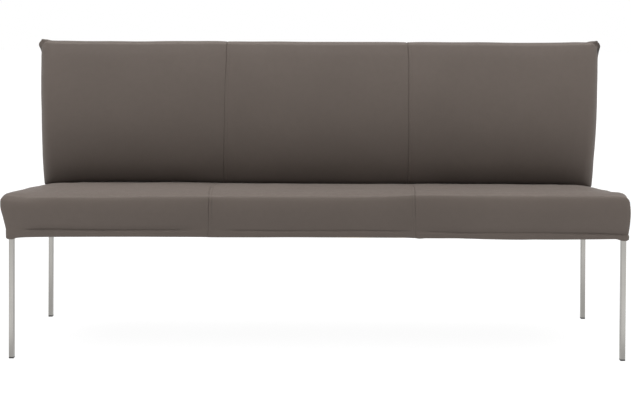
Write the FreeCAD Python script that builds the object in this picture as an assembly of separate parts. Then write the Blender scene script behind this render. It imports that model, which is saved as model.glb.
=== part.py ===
import FreeCAD, Part

import math
import os

# Upholstered dining bench with a full-width backrest: a beech seat frame on four slim
# square steel legs, elastic webbing, foam and leather, and a separate back unit carried
# by four flat steel uprights bolted to the rear rail.  Millimetres, +Z up, +X along the
# bench, -Y towards the sitter's knees.  Y is laid out from the front face of the front
# legs and moved at the end so that the origin is under the middle of the bench.

V = FreeCAD.Vector

# ---------------------------------------------------------------- driving dimensions
leg_size = 15.0            # square tube, outside
leg_wall = 1.5
leg_corner_r = 1.6
leg_x_floor = 926.7        # leg centre at the floor
leg_lean = 9.0 / 370.0     # each leg leans outwards this much per mm of height
leg_y_front = 7.5          # leg centres, measured from the front legs' front face
leg_y_rear = 482.8
foot_height = 5.0          # plastic glide under the tube
leg_top = 377.0            # underside of the leg plates
plate_t = 4.0

frame_x = 924.0            # half length of the timber seat frame
frame_y = 500.0            # depth of the frame
rail_t = 25.0
rail_bottom = 376.5        # the leg plates are let into the rails from below
block_bottom = 381.0
rail_top = 442.0
cross_rail_x = 350.0
block_leg = 85.0           # triangular corner block

seat_bottom = 375.0        # underside of the leather
seat_top_front = 500.0
seat_top_rear = 476.0
seat_half_bottom = 932.0
seat_half_bulge = 944.0
seat_bulge_z = 460.0
seat_front_bottom = -5.0
seat_front_bulge = -22.0
seat_rear = 510.0
leather_t = 1.5
wadding_t = 3.0
webbing_t = 1.5
pad_t = 1.5

seam_x = 308.0             # the two sewn joints between the three cover panels

back_bottom = 481.0
back_top = 957.0
back_half_bottom = 933.0
back_half_mid = 946.0
back_half_top = 950.0
back_angle = math.radians(5.7)   # rake of the uprights
bar_w = 40.0
bar_t = 8.0
bar_x = (-870.0, -310.0, 310.0, 870.0)
bend_y = 475.0             # rear face of the uprights where they bend
bend_z = 450.0
bar_length = 480.0         # above the bend
back_frame_x = 900.0
back_rail_t = 20.0
back_panel_t = 4.0
back_seam_n = -22.0        # plane of the edge seam between front and rear back panels

front_edge = -21.63        # foremost and rearmost points of the whole bench
rear_edge = 557.89
mid_y = 0.5 * (front_edge + rear_edge)   # moved to Y = 0 at the end

# ---------------------------------------------------------------- small helpers
ta = V(0, math.sin(back_angle), math.cos(back_angle))    # up the back
na = V(0, math.cos(back_angle), -math.sin(back_angle))   # out of its rear face
bend = V(0, bend_y, bend_z)
parts = {}


def box(x0, x1, y0, y1, z0, z1):
    return Part.makeBox(x1 - x0, y1 - y0, z1 - z0, V(x0, y0, z0))


def rounded_wire(points, radii, place):
    """Closed wire through 2-D points, each corner rounded by its radius."""
    n = len(points)
    cut = []
    for i in range(n):
        p, a, b = points[i], points[i - 1], points[(i + 1) % n]
        r = radii[i]
        u = (a[0] - p[0], a[1] - p[1])
        w = (b[0] - p[0], b[1] - p[1])
        lu, lw = math.hypot(*u), math.hypot(*w)
        u, w = (u[0] / lu, u[1] / lu), (w[0] / lw, w[1] / lw)
        angle = math.acos(max(-1.0, min(1.0, u[0] * w[0] + u[1] * w[1])))
        if r <= 0 or angle > math.pi - 1e-4:
            cut.append((p, None, p))
            continue
        d = min(r / math.tan(angle / 2), 0.45 * lu, 0.45 * lw)
        r = d * math.tan(angle / 2)
        m = (u[0] + w[0], u[1] + w[1])
        lm = math.hypot(*m)
        m = (m[0] / lm, m[1] / lm)
        k = r / math.sin(angle / 2) - r
        cut.append(((p[0] + u[0] * d, p[1] + u[1] * d),
                    (p[0] + m[0] * k, p[1] + m[1] * k),
                    (p[0] + w[0] * d, p[1] + w[1] * d)))
    edges = []
    for i in range(n):
        first, middle, last = cut[i]
        if middle is not None:
            edges.append(Part.Arc(place(*first), place(*middle), place(*last)).toShape())
        nxt = cut[(i + 1) % n][0]
        if math.hypot(nxt[0] - last[0], nxt[1] - last[1]) > 1e-6:
            edges.append(Part.LineSegment(place(*last), place(*nxt)).toShape())
    return Part.Wire(edges)


def prism(points, radii, place, along):
    return Part.Face(rounded_wire(points, radii, place)).extrude(along)


def along_x(points, x0, x1, radii=None):
    """Y-Z outline drawn along X."""
    radii = radii or [0] * len(points)
    return prism(points, radii, lambda y, z: V(x0, y, z), V(x1 - x0, 0, 0))


def along_y(points, y0, y1, radii=None):
    """X-Z outline drawn along Y."""
    radii = radii or [0] * len(points)
    return prism(points, radii, lambda x, z: V(x, y0, z), V(0, y1 - y0, 0))


def along_z(points, z0, z1, radii=None):
    radii = radii or [0] * len(points)
    return prism(points, radii, lambda x, y: V(x, y, z0), V(0, 0, z1 - z0))


def back_slab(x0, x1, n0, n1, s0, s1):
    """Block in the raked frame of the back: n out of its rear face, s up it."""
    corners = [bend + na * n + ta * s for n, s in ((n0, s0), (n1, s0), (n1, s1), (n0, s1))]
    return along_x([(c.y, c.z) for c in corners], x0, x1)


def biggest(shape):
    return max(shape.Solids, key=lambda s: s.Volume)


def group(shapes):
    return Part.makeCompound([s for shape in shapes for s in shape.Solids])


def cut_all(shape, tools):
    reach = shape.BoundBox
    near = [t for t in tools if t.BoundBox.intersect(reach)]
    return shape.cut(near) if near else shape


# ---------------------------------------------------------------- legs, plates and feet
def leg_prism(sx, y, half, r, z0, z1):
    """Square prism that follows a leg's outward lean, with level ends."""
    x = sx * (leg_x_floor - leg_lean * z0)
    pts = [(x - half, y - half), (x + half, y - half), (x + half, y + half), (x - half, y + half)]
    wire = rounded_wire(pts, [r] * 4, lambda a, b: V(a, b, z0))
    return Part.Face(wire).extrude(V(-sx * leg_lean * (z1 - z0), 0, z1 - z0))


half_leg = leg_size / 2
half_bore = half_leg - leg_wall
corners = {
    "front_left": (-1, leg_y_front),
    "front_right": (1, leg_y_front),
    "rear_left": (-1, leg_y_rear),
    "rear_right": (1, leg_y_rear),
}
leg_outer = {}
screw_solids, shank_room, plate_room = [], [], []
for name, (sx, y) in corners.items():
    outer = leg_prism(sx, y, half_leg, leg_corner_r, foot_height, leg_top)
    bore = leg_prism(sx, y, half_bore, 0.6, foot_height, leg_top)
    leg_outer[name] = leg_prism(sx, y, half_leg + 0.3, leg_corner_r, seat_bottom - 4, leg_top)
    parts["leg_" + name] = outer.cut(bore)

    # Push-in glide: a head as wide as the tube, and a plug with four gripping fins.
    head = leg_prism(sx, y, half_leg, leg_corner_r, 0, foot_height)
    head = head.makeChamfer(0.9, [e for e in head.Edges if e.BoundBox.ZMax < 0.01])
    plug = leg_prism(sx, y, half_bore - 0.8, 0.5, foot_height, foot_height + 24)
    for k in range(4):
        z = foot_height + 3.5 + 5 * k
        plug = plug.fuse(leg_prism(sx, y, half_bore - 0.06, 0.5, z, z + 1.6))
    parts["foot_glide_" + name] = head.fuse(plug).removeSplitter()

    # Plate welded to the tube's top, screwed up into the rails and the corner block.
    front = y < frame_y / 2
    if front:
        y0, y1 = 0.0, 74.0
        holes = [(869.0, 12.5), (911.5, 55.5), (866.0, 58.0)]
    else:
        y0, y1 = frame_y - 86.0, frame_y
        holes = [(869.0, 487.5), (911.5, 425.0), (866.0, 431.0)]
    xa, xb = sorted((sx * frame_x, sx * (frame_x - 76.0)))
    plate = along_z([(xa, y0), (xb, y0), (xb, y1), (xa, y1)], leg_top, leg_top + plate_t, [4] * 4)
    for hx, hy in holes:
        at = V(sx * hx, hy, leg_top)
        screw = Part.makeCone(5.8, 3.0, 3.0, at).fuse(Part.makeCylinder(3.0, 30, at)).removeSplitter()
        socket = Part.makeCylinder(2.0, 2.0, at)
        screw_solids.append(screw.cut(socket))
        shank_room.append(Part.makeCylinder(3.0, 30.2, at))
        plate = plate.cut(Part.makeCone(6.0, 3.2, 3.0, at)).cut(Part.makeCylinder(3.2, plate_t, at))
    parts["leg_plate_" + name] = plate
    plate_room.append(box(min(xa, xb) - 0.2, max(xa, xb) + 0.2, y0 - 0.2, y1 + 0.2, rail_bottom - 1, leg_top + plate_t))
parts["leg_plate_screws"] = group(screw_solids)

# ---------------------------------------------------------------- timber seat frame
inner_x = frame_x - rail_t
front_rail = box(-frame_x, frame_x, 0, rail_t, rail_bottom, rail_top)
rear_rail = box(-frame_x, frame_x, frame_y - rail_t, frame_y, rail_bottom, rail_top)
left_rail = box(-frame_x, -inner_x, rail_t, frame_y - rail_t, rail_bottom, rail_top)
right_rail = box(inner_x, frame_x, rail_t, frame_y - rail_t, rail_bottom, rail_top)
cross = {}
for name, x in (("left", -cross_rail_x), ("right", cross_rail_x)):
    cross[name] = box(x - rail_t / 2, x + rail_t / 2, rail_t, frame_y - rail_t, rail_bottom, rail_top - 8)

# Dowels in every rail joint.
dowels = []
for x in (-frame_x + rail_t / 2, -cross_rail_x, cross_rail_x, frame_x - rail_t / 2):
    for z in (402.0, 426.0):
        dowels.append(Part.makeCylinder(4.0, 38, V(x, rail_t / 2, z), V(0, 1, 0)))
        dowels.append(Part.makeCylinder(4.0, 38, V(x, frame_y - rail_t / 2 - 38, z), V(0, 1, 0)))
parts["frame_dowels"] = group(dowels)

# Staples that hold the dust cover and the cover's hem to the rails.
staples, staple_room = [], []
spots = [(x, y, True) for y in (17.0, 483.0) for x in range(-828, 829, 72)]
spots += [(sx * 908.0, y, False) for sx in (-1, 1) for y in range(90, 400, 60)]
for x, y, lengthwise in spots:
    hx, hy = (5.0, 0.6) if lengthwise else (0.6, 5.0)
    crown = box(x - hx, x + hx, y - hy, y + hy, seat_bottom - 1.6, seat_bottom - 1.0)
    for side in (-1, 1):
        cx, cy = (x + side * 4.7, y) if lengthwise else (x, y + side * 4.7)
        lx, ly = (0.3, 0.6) if lengthwise else (0.6, 0.3)
        prong = box(cx - lx, cx + lx, cy - ly, cy + ly, seat_bottom - 1.6, seat_bottom + 7.0)
        staple_room.append(prong)
        crown = crown.fuse(prong)
    staples.append(crown.removeSplitter())
parts["dust_cover_staples"] = group(staples)

# Carriage bolts that hold the steel uprights to the rear rail, with nuts let in behind.
bolts, nuts, bolt_room, nut_room = [], [], [], []
for x in bar_x:
    for dx in (-12.0, 12.0):
        at = V(x + dx, bend_y - bar_t, 426.0)
        head = Part.makeCylinder(9.0, 1.6, at + V(0, -1.6, 0), V(0, 1, 0))
        dome = Part.makeCone(5.0, 9.0, 2.4, at + V(0, -4.0, 0), V(0, 1, 0))
        shank = Part.makeCylinder(4.0, 30.0, at, V(0, 1, 0))
        bolts.append(shank.fuse(head).fuse(dome).removeSplitter())
        bolt_room.append(Part.makeCylinder(4.2, 40.0, at + V(0, -0.5, 0), V(0, 1, 0)))
        nut_at = V(x + dx, frame_y - 10.5, 426.0)
        hexagon = [V(nut_at.x + 7.5 * math.cos(math.radians(60 * k)), nut_at.y,
                     nut_at.z + 7.5 * math.sin(math.radians(60 * k))) for k in range(6)]
        nut = Part.Face(Part.makePolygon(hexagon + hexagon[:1])).extrude(V(0, 6.5, 0))
        nuts.append(nut.cut(Part.makeCylinder(4.1, 8, nut_at + V(0, -0.5, 0), V(0, 1, 0))))
        nut_room.append(Part.makeCylinder(10.0, 12, V(x + dx, frame_y - 10.5, 426.0), V(0, 1, 0)))
parts["upright_bolts"] = group(bolts)
parts["upright_nuts"] = group(nuts)

rail_tools = dowels + shank_room + plate_room
parts["seat_front_rail"] = cut_all(front_rail, rail_tools + staple_room)
parts["seat_rear_rail"] = cut_all(rear_rail, rail_tools + staple_room + bolt_room + nut_room)
parts["seat_left_rail"] = cut_all(left_rail, rail_tools + staple_room)
parts["seat_right_rail"] = cut_all(right_rail, rail_tools + staple_room)
parts["seat_cross_rail_left"] = cut_all(cross["left"], dowels)
parts["seat_cross_rail_right"] = cut_all(cross["right"], dowels)

blocks = []
for name, (sx, y) in corners.items():
    front = y < frame_y / 2
    cy, dy = (rail_t, 1) if front else (frame_y - rail_t, -1)
    tri = [(sx * inner_x, cy), (sx * (inner_x - block_leg), cy), (sx * inner_x, cy + dy * block_leg)]
    block = along_z(tri, block_bottom, block_bottom + 40)
    block = cut_all(block, shank_room)
    if not front:   # notched for the upright and its bolt heads
        xa, xb = sorted((sx * 846.0, sx * 894.0))
        block = block.cut(box(xa, xb, 461.0, frame_y, block_bottom - 1, rail_top))
        block = biggest(block)
    blocks.append(block)
parts["corner_blocks"] = group(blocks)

# ---------------------------------------------------------------- uprights of the back
bar_names = ("far_left", "inner_left", "inner_right", "far_right")
rear_top = bend + ta * bar_length
front_top = rear_top - na * bar_t
front_bend = V(0, bend_y - bar_t, bend_z + bar_t * math.tan(back_angle / 2))
bar_outline = [(bend_y - bar_t, 390.0), (bend_y, 390.0), (bend_y, bend_z), (rear_top.y, rear_top.z),
               (front_top.y, front_top.z), (front_bend.y, front_bend.z)]
back_rails = {"back_bottom_rail": (42.0, 92.0), "back_middle_rail": (236.0, 286.0), "back_top_rail": (430.0, 480.0)}
back_screws, back_screw_room = [], []
for x in bar_x:
    for s0, s1 in back_rails.values():
        at = bend + ta * (0.5 * (s0 + s1)) - na * bar_t + V(x, 0, 0)
        pan = Part.makeCone(3.0, 4.6, 1.2, at - na * 2.6, na).fuse(Part.makeCylinder(4.6, 1.4, at - na * 1.4, na))
        back_screws.append(pan.fuse(Part.makeCylinder(2.5, 24, at, na)).removeSplitter())
        back_screw_room.append(Part.makeCylinder(2.5, 24.3, at - na * 0.2, na))
parts["back_rail_screws"] = group(back_screws)
bars = {}
for name, x in zip(bar_names, bar_x):
    bar = along_x(bar_outline, x - bar_w / 2, x + bar_w / 2)
    bars[name] = bar
    parts["back_upright_" + name] = cut_all(bar, bolt_room + back_screw_room)
for name, (s0, s1) in back_rails.items():
    rail = back_slab(-back_frame_x, back_frame_x, 0, back_rail_t, s0, s1)
    parts[name] = cut_all(rail, back_screw_room)
parts["back_panel"] = back_slab(-back_frame_x, back_frame_x, back_rail_t, back_rail_t + back_panel_t, 42.0, 480.0)

# ---------------------------------------------------------------- webbing and pad
strap_x = (-770, -655, -540, -425, -215, -107, 0, 107, 215, 425, 540, 655, 770)
parts["seat_webbing"] = group(
    [box(x - 30, x + 30, 3, frame_y - 3, rail_top, rail_top + webbing_t) for x in strap_x])
back_strap_x = (-760, -640, -520, -400, -225, -112, 0, 112, 225, 400, 520, 640, 760)
parts["back_webbing"] = group(
    [back_slab(x - 30, x + 30, -webbing_t, 0, 44.0, 478.0) for x in back_strap_x])
slots = [box(x - bar_w / 2 - 2, x + bar_w / 2 + 2, bend_y - bar_t - 3, bend_y + 7, rail_bottom, 500) for x in bar_x]
pad_z0 = rail_top + webbing_t
pad = box(-frame_x + 2, frame_x - 2, 2, frame_y - 2, pad_z0, pad_z0 + pad_t)
parts["seat_insulator_pad"] = cut_all(pad, slots)
foam_z0 = pad_z0 + pad_t


# ---------------------------------------------------------------- seat upholstery
def seat_envelope(o):
    """The seat's outer form, taken in by o all round."""
    side = along_x(
        [(seat_front_bottom + o, seat_bottom + o), (seat_front_bulge + o, seat_bulge_z),
         (seat_front_bulge + 2 + o, seat_top_front - o), (seat_rear - o, seat_top_rear - o),
         (seat_rear - o, seat_bottom + o)],
        -1000, 1000, [3, 70, 30 - o, 16 - o, 3])
    hb, hm, ht = seat_half_bottom - o, seat_half_bulge - o, seat_half_bulge - 2 - o
    front = along_y(
        [(-hb, seat_bottom + o), (hb, seat_bottom + o), (hm, seat_bulge_z), (ht, seat_top_front - o),
         (-ht, seat_top_front - o), (-hm, seat_bulge_z)],
        -60, 560, [3, 3, 70, 30 - o, 30 - o, 70])
    h = seat_half_bulge + 1 - o
    plan = along_z([(-h, seat_front_bulge - 1 + o), (h, seat_front_bulge - 1 + o), (h, seat_rear + 1 - o),
                    (-h, seat_rear + 1 - o)], 360, 520, [22 - o] * 4)
    return side.common(front).common(plan)


outer = seat_envelope(0.0)
under_leather = seat_envelope(leather_t)
under_wadding = seat_envelope(leather_t + wadding_t)
foam = cut_all(under_wadding.common(box(-1000, 1000, -60, 600, foam_z0, 600)), slots)
parts["seat_foam_core"] = biggest(foam)
wadding = under_leather.cut(under_wadding).common(box(-1000, 1000, -60, 600, foam_z0, 600))
parts["seat_wadding"] = biggest(cut_all(wadding, slots))
edge = under_leather.common(box(-1000, 1000, -60, 600, 300, foam_z0))
clear = box(-frame_x, frame_x, 0, frame_y, 300, 600)
leg_room = list(leg_outer.values())
parts["front_edge_foam"] = biggest(edge.common(box(-1000, 1000, -60, 0, 300, 600)))
parts["rear_edge_foam"] = biggest(edge.common(box(-1000, 1000, frame_y, 600, 300, 600)))
parts["left_edge_foam"] = biggest(cut_all(edge.common(box(-1000, -frame_x, 0, frame_y, 300, 600)), leg_room))
parts["right_edge_foam"] = biggest(cut_all(edge.common(box(frame_x, 1000, 0, frame_y, 300, 600)), leg_room))

# The cover is turned under the frame by a hem and left open below; the legs and the
# uprights pass through it.
hem = 34.0
skin = outer.cut(under_leather)
skin = skin.cut(box(-seat_half_bottom + hem, seat_half_bottom - hem, seat_front_bottom + hem, seat_rear - hem, 360, 400))
skin = cut_all(skin, leg_room + slots + staple_room)
parts["seat_cover_left"] = biggest(skin.common(box(-1000, -seam_x, -60, 600, 300, 600)))
parts["seat_cover_centre"] = biggest(skin.common(box(-seam_x, seam_x, -60, 600, 300, 600)))
parts["seat_cover_right"] = biggest(skin.common(box(seam_x, 1000, -60, 600, 300, 600)))
sheet = box(-914, 914, 11, frame_y - 11, seat_bottom - 1, seat_bottom)
notches = [box(min(sx * 903, sx * 930), max(sx * 903, sx * 930), y0, y1, 365, 385)
           for sx in (-1, 1) for y0, y1 in ((0, 20), (470, 500))]
parts["dust_cover"] = cut_all(sheet, notches + staple_room)


# ---------------------------------------------------------------- back upholstery
def back_envelope(o):
    """The back unit's outer form, taken in by o all round: raked, full in front at the
    loins and drawn in again towards the seat."""
    rear_at = lambda z: bend_y + (z - bend_z) * math.tan(back_angle) + 34.0 / math.cos(back_angle)
    side = along_x(
        [(432 + o, back_bottom + o), (404 + o, 570), (402 + o, 660), (421 + o, 780), (474 + o, back_top - o),
         (rear_at(back_top) - o, back_top - o), (rear_at(back_bottom) - o, back_bottom + o)],
        -1000, 1000, [12, 170, 220, 320, 24 - o, 18 - o, 10])
    hb, hm, ht = back_half_bottom - o, back_half_mid - o, back_half_top - o
    front = along_y(
        [(-hb, back_bottom + o), (hb, back_bottom + o), (hm, 720), (ht, back_top - o), (-ht, back_top - o), (-hm, 720)],
        300, 640, [8, 8, 600, 8, 8, 600])
    return side.common(front)


back_outer = back_envelope(0.0)
back_inner = back_envelope(leather_t)
back_core = back_envelope(leather_t + wadding_t)
slot_high = [box(x - bar_w / 2 - 2, x + bar_w / 2 + 2, bend_y - bar_t - 3, bend_y + 9, 440, back_bottom + 6) for x in bar_x]
frame_room = back_slab(-back_frame_x - 2, back_frame_x + 2, -13, back_rail_t + back_panel_t, -60, 481)
front_half = back_slab(-1000, 1000, -300, -13, -200, 700)
rear_half = back_slab(-1000, 1000, back_rail_t + back_panel_t, 300, -200, 700)
middle = back_slab(-1000, 1000, -13, back_rail_t + back_panel_t, -200, 700)
parts["back_foam_front"] = biggest(cut_all(back_core.common(front_half), slot_high))
parts["back_wadding"] = biggest(cut_all(back_inner.common(front_half).cut(back_core), slot_high))
parts["back_foam_rear"] = biggest(back_inner.common(rear_half))
parts["back_edge_foam"] = biggest(back_inner.common(middle).cut(frame_room))
skin = cut_all(back_outer.cut(back_inner), slot_high)
in_front = skin.common(back_slab(-1000, 1000, -300, back_seam_n, -200, 700))
behind = skin.common(back_slab(-1000, 1000, back_seam_n, 300, -200, 700))
for name, x0, x1 in (("left", -1000, -seam_x), ("centre", -seam_x, seam_x), ("right", seam_x, 1000)):
    third = box(x0, x1, 300, 640, 400, 1000)
    parts["back_cover_front_" + name] = biggest(in_front.common(third))
    parts["back_cover_rear_" + name] = biggest(behind.common(third))

# ---------------------------------------------------------------- write the pieces
os.makedirs("parts", exist_ok=True)
low, high = V(1e9, 1e9, 1e9), V(-1e9, -1e9, -1e9)
for name in sorted(parts):
    shape = parts[name].copy()
    shape.translate(V(0, -mid_y, 0))
    b = shape.BoundBox
    low = V(min(low.x, b.XMin), min(low.y, b.YMin), min(low.z, b.ZMin))
    high = V(max(high.x, b.XMax), max(high.y, b.YMax), max(high.z, b.ZMax))
    if not shape.isValid() or not shape.Solids:
        print("CHECK", name, "valid", shape.isValid(), "solids", len(shape.Solids))
    shape.exportStep(os.path.join("parts", name + ".step"))
print(len(parts), "pieces; low", tuple(round(c, 2) for c in low), "high", tuple(round(c, 2) for c in high))
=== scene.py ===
import math

import bmesh
import bpy
import numpy as np
from mathutils import Matrix, Vector
from mathutils.bvhtree import BVHTree


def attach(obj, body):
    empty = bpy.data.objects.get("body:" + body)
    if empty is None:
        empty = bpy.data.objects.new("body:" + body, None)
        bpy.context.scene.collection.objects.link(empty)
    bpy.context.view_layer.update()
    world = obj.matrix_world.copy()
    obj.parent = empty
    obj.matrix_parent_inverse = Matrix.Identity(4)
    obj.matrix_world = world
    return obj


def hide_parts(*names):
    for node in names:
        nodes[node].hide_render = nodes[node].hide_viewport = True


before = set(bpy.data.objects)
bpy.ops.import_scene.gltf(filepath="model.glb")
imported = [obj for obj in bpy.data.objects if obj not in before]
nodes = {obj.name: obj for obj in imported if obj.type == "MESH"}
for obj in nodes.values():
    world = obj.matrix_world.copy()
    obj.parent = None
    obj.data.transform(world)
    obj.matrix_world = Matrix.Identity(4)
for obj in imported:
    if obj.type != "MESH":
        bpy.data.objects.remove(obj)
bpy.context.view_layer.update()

scene = bpy.context.scene

# The soft pieces are worked out in millimetres in part.py's layout, where Y starts at the
# front face of the front legs; MID_Y brings them into the row frame.
MID_Y = 268.13
LEATHER_T = 1.5


# ------------------------------------------------------------------ small numeric helpers
def smooth(a, b, x):
    t = np.clip((np.asarray(x, float) - a) / (b - a), 0.0, 1.0)
    return t * t * (3.0 - 2.0 * t)


def bell(x, w):
    return np.exp(-(np.asarray(x, float) / w) ** 2)


def spline(points):
    """Natural cubic spline through (x, y) points, held level outside them."""
    x = np.array([p[0] for p in points], float)
    y = np.array([p[1] for p in points], float)
    n = len(x)
    h = np.diff(x)
    a = np.zeros((n, n))
    r = np.zeros(n)
    a[0, 0] = a[-1, -1] = 1.0
    for i in range(1, n - 1):
        a[i, i - 1], a[i, i], a[i, i + 1] = h[i - 1], 2 * (h[i - 1] + h[i]), h[i]
        r[i] = 3 * ((y[i + 1] - y[i]) / h[i] - (y[i] - y[i - 1]) / h[i - 1])
    c = np.linalg.solve(a, r)
    b = np.diff(y) / h - h * (2 * c[:-1] + c[1:]) / 3
    d = np.diff(c) / (3 * h)

    def at(q):
        q = np.clip(np.asarray(q, float), x[0], x[-1])
        k = np.clip(np.searchsorted(x, q, side="right") - 1, 0, n - 2)
        t = q - x[k]
        return y[k] + t * (b[k] + t * (c[k] + t * d[k]))

    return at


def hermite(points):
    """Shape-keeping curve through (x, y) points: no overshoot between them."""
    x = np.array([p[0] for p in points], float)
    y = np.array([p[1] for p in points], float)
    h = np.diff(x)
    d = np.diff(y) / h
    m = np.zeros(len(x))
    m[0], m[-1] = d[0], d[-1]
    for i in range(1, len(x) - 1):
        if d[i - 1] * d[i] > 0:
            w1, w2 = 2 * h[i] + h[i - 1], h[i] + 2 * h[i - 1]
            m[i] = (w1 + w2) / (w1 / d[i - 1] + w2 / d[i])

    def at(q):
        q = np.clip(np.asarray(q, float), x[0], x[-1])
        k = np.clip(np.searchsorted(x, q, side="right") - 1, 0, len(x) - 2)
        t = (q - x[k]) / h[k]
        return ((1 + 2 * t) * (1 - t) ** 2 * y[k] + t * (1 - t) ** 2 * h[k] * m[k]
                + t * t * (3 - 2 * t) * y[k + 1] + t * t * (t - 1) * h[k] * m[k + 1])

    return at


def waves(seed, count, shortest, longest):
    """A gentle unevenness: a few seeded plane waves over a 3-D point, about -1 to 1."""
    rng = np.random.default_rng(seed)
    length = np.exp(rng.uniform(math.log(shortest), math.log(longest), count))
    way = rng.normal(size=(count, 3))
    way /= np.linalg.norm(way, axis=1)[:, None]
    phase = rng.uniform(0, 2 * math.pi, count)

    def at(p):
        total = np.zeros(len(p))
        for k in range(count):
            total += np.sin(p @ way[k] * (2 * math.pi / length[k]) + phase[k])
        return total / math.sqrt(count)

    return at


def vertex_normals(v, f):
    n = np.zeros_like(v)
    across = np.cross(v[f[:, 2]] - v[f[:, 0]], v[f[:, 3]] - v[f[:, 1]])
    for k in range(4):
        np.add.at(n, f[:, k], across)
    size = np.linalg.norm(n, axis=1)
    size[size == 0] = 1.0
    return n / size[:, None]


def spaced(marks, step):
    """Marks with evenly spread points put between them, no further apart than step."""
    marks = sorted(set(round(m, 4) for m in marks))
    out = [marks[0]]
    for a, b in zip(marks[:-1], marks[1:]):
        k = max(1, int(math.ceil((b - a) / step - 1e-6)))
        out += [a + (b - a) * (i + 1) / k for i in range(k)]
    return np.array(out)


SEAM_STEPS = (0.0, 0.6, 1.2, 1.9, 2.7, 3.8, 5.4, 7.4, 8.2, 9.0, 9.8, 10.6, 12.5, 16.0, 22.0)


def about(x, fine=True):
    steps = SEAM_STEPS if fine else (0.0, 9.0, 22.0)
    return [x + s * d for d in steps for s in (-1, 1)]


# ------------------------------------------------------------------ mesh building
def new_object(name, v_mm, faces, material, attributes=None):
    co = np.asarray(v_mm, float).copy()
    co[:, 1] -= MID_Y
    co *= 0.001
    me = bpy.data.meshes.new(name)
    me.from_pydata(co.tolist(), [], [list(map(int, f)) for f in faces])
    me.polygons.foreach_set("use_smooth", np.ones(len(me.polygons), bool))
    for key, values in (attributes or {}).items():
        me.attributes.new(key, "FLOAT", "POINT").data.foreach_set("value", np.asarray(values, np.float32))
    me.materials.append(material)
    me.update()
    ob = bpy.data.objects.new(name, me)
    scene.collection.objects.link(ob)
    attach(ob, "root")
    return ob


def part_of(v, f, keep, *values):
    """The kept faces with only the points they use."""
    g = f[keep]
    used = np.unique(g)
    back = np.full(len(v), -1)
    back[used] = np.arange(len(used))
    return (v[used], back[g]) + tuple(x[used] for x in values)


def rim_edges(f):
    """Directed edges that belong to one face only."""
    e = np.concatenate([f[:, [0, 1]], f[:, [1, 2]], f[:, [2, 3]], f[:, [3, 0]]])
    e = e[e[:, 0] != e[:, 1]]
    seen = set(map(tuple, e.tolist()))
    return np.array([(a, b) for a, b in e.tolist() if (b, a) not in seen], int).reshape(-1, 2)


def closed_between(outer, inner, f):
    """A closed skin from an outer sheet and an inner one that share their faces."""
    n = len(outer)
    rim = rim_edges(f)
    walls = np.column_stack([rim[:, 1], rim[:, 0], rim[:, 0] + n, rim[:, 1] + n])
    return np.concatenate([outer, inner]), np.concatenate([f, f[:, ::-1] + n, walls])


def leather_piece(name, v, f, n, keep, seam_and_shade, material, stands_for):
    """One cut panel of leather, with its real thickness to the inside."""
    pv, pf, pn, ps = part_of(v, f, keep, n, seam_and_shade)
    sv, sf = closed_between(pv, pv - pn * LEATHER_T, pf)
    ob = new_object(name, sv, sf, material, {"seam_and_shade": np.concatenate([ps, ps])})
    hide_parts(*stands_for)
    return ob


def tidy(ob, distance=0.00002):
    """Joins points that fell together and drops faces without area."""
    bm = bmesh.new()
    bm.from_mesh(ob.data)
    bmesh.ops.remove_doubles(bm, verts=bm.verts, dist=distance)
    bmesh.ops.dissolve_degenerate(bm, edges=bm.edges, dist=distance)
    bmesh.ops.recalc_face_normals(bm, faces=bm.faces)
    bm.to_mesh(ob.data)
    bm.free()
    ob.data.update()


# ------------------------------------------------------------------ cloth
def evened(values, edges, times, keep):
    """Averages each point's value with its neighbours' a few times, except where keep is true."""
    for _ in range(times):
        total, count = values.copy(), np.ones(len(values))
        for here, there in ((0, 1), (1, 0)):
            np.add.at(total, edges[:, here], values[edges[:, there]])
            np.add.at(count, edges[:, here], 1.0)
        mean = (total.T / count).T
        mean[keep] = values[keep]
        values = mean
    return values


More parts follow.
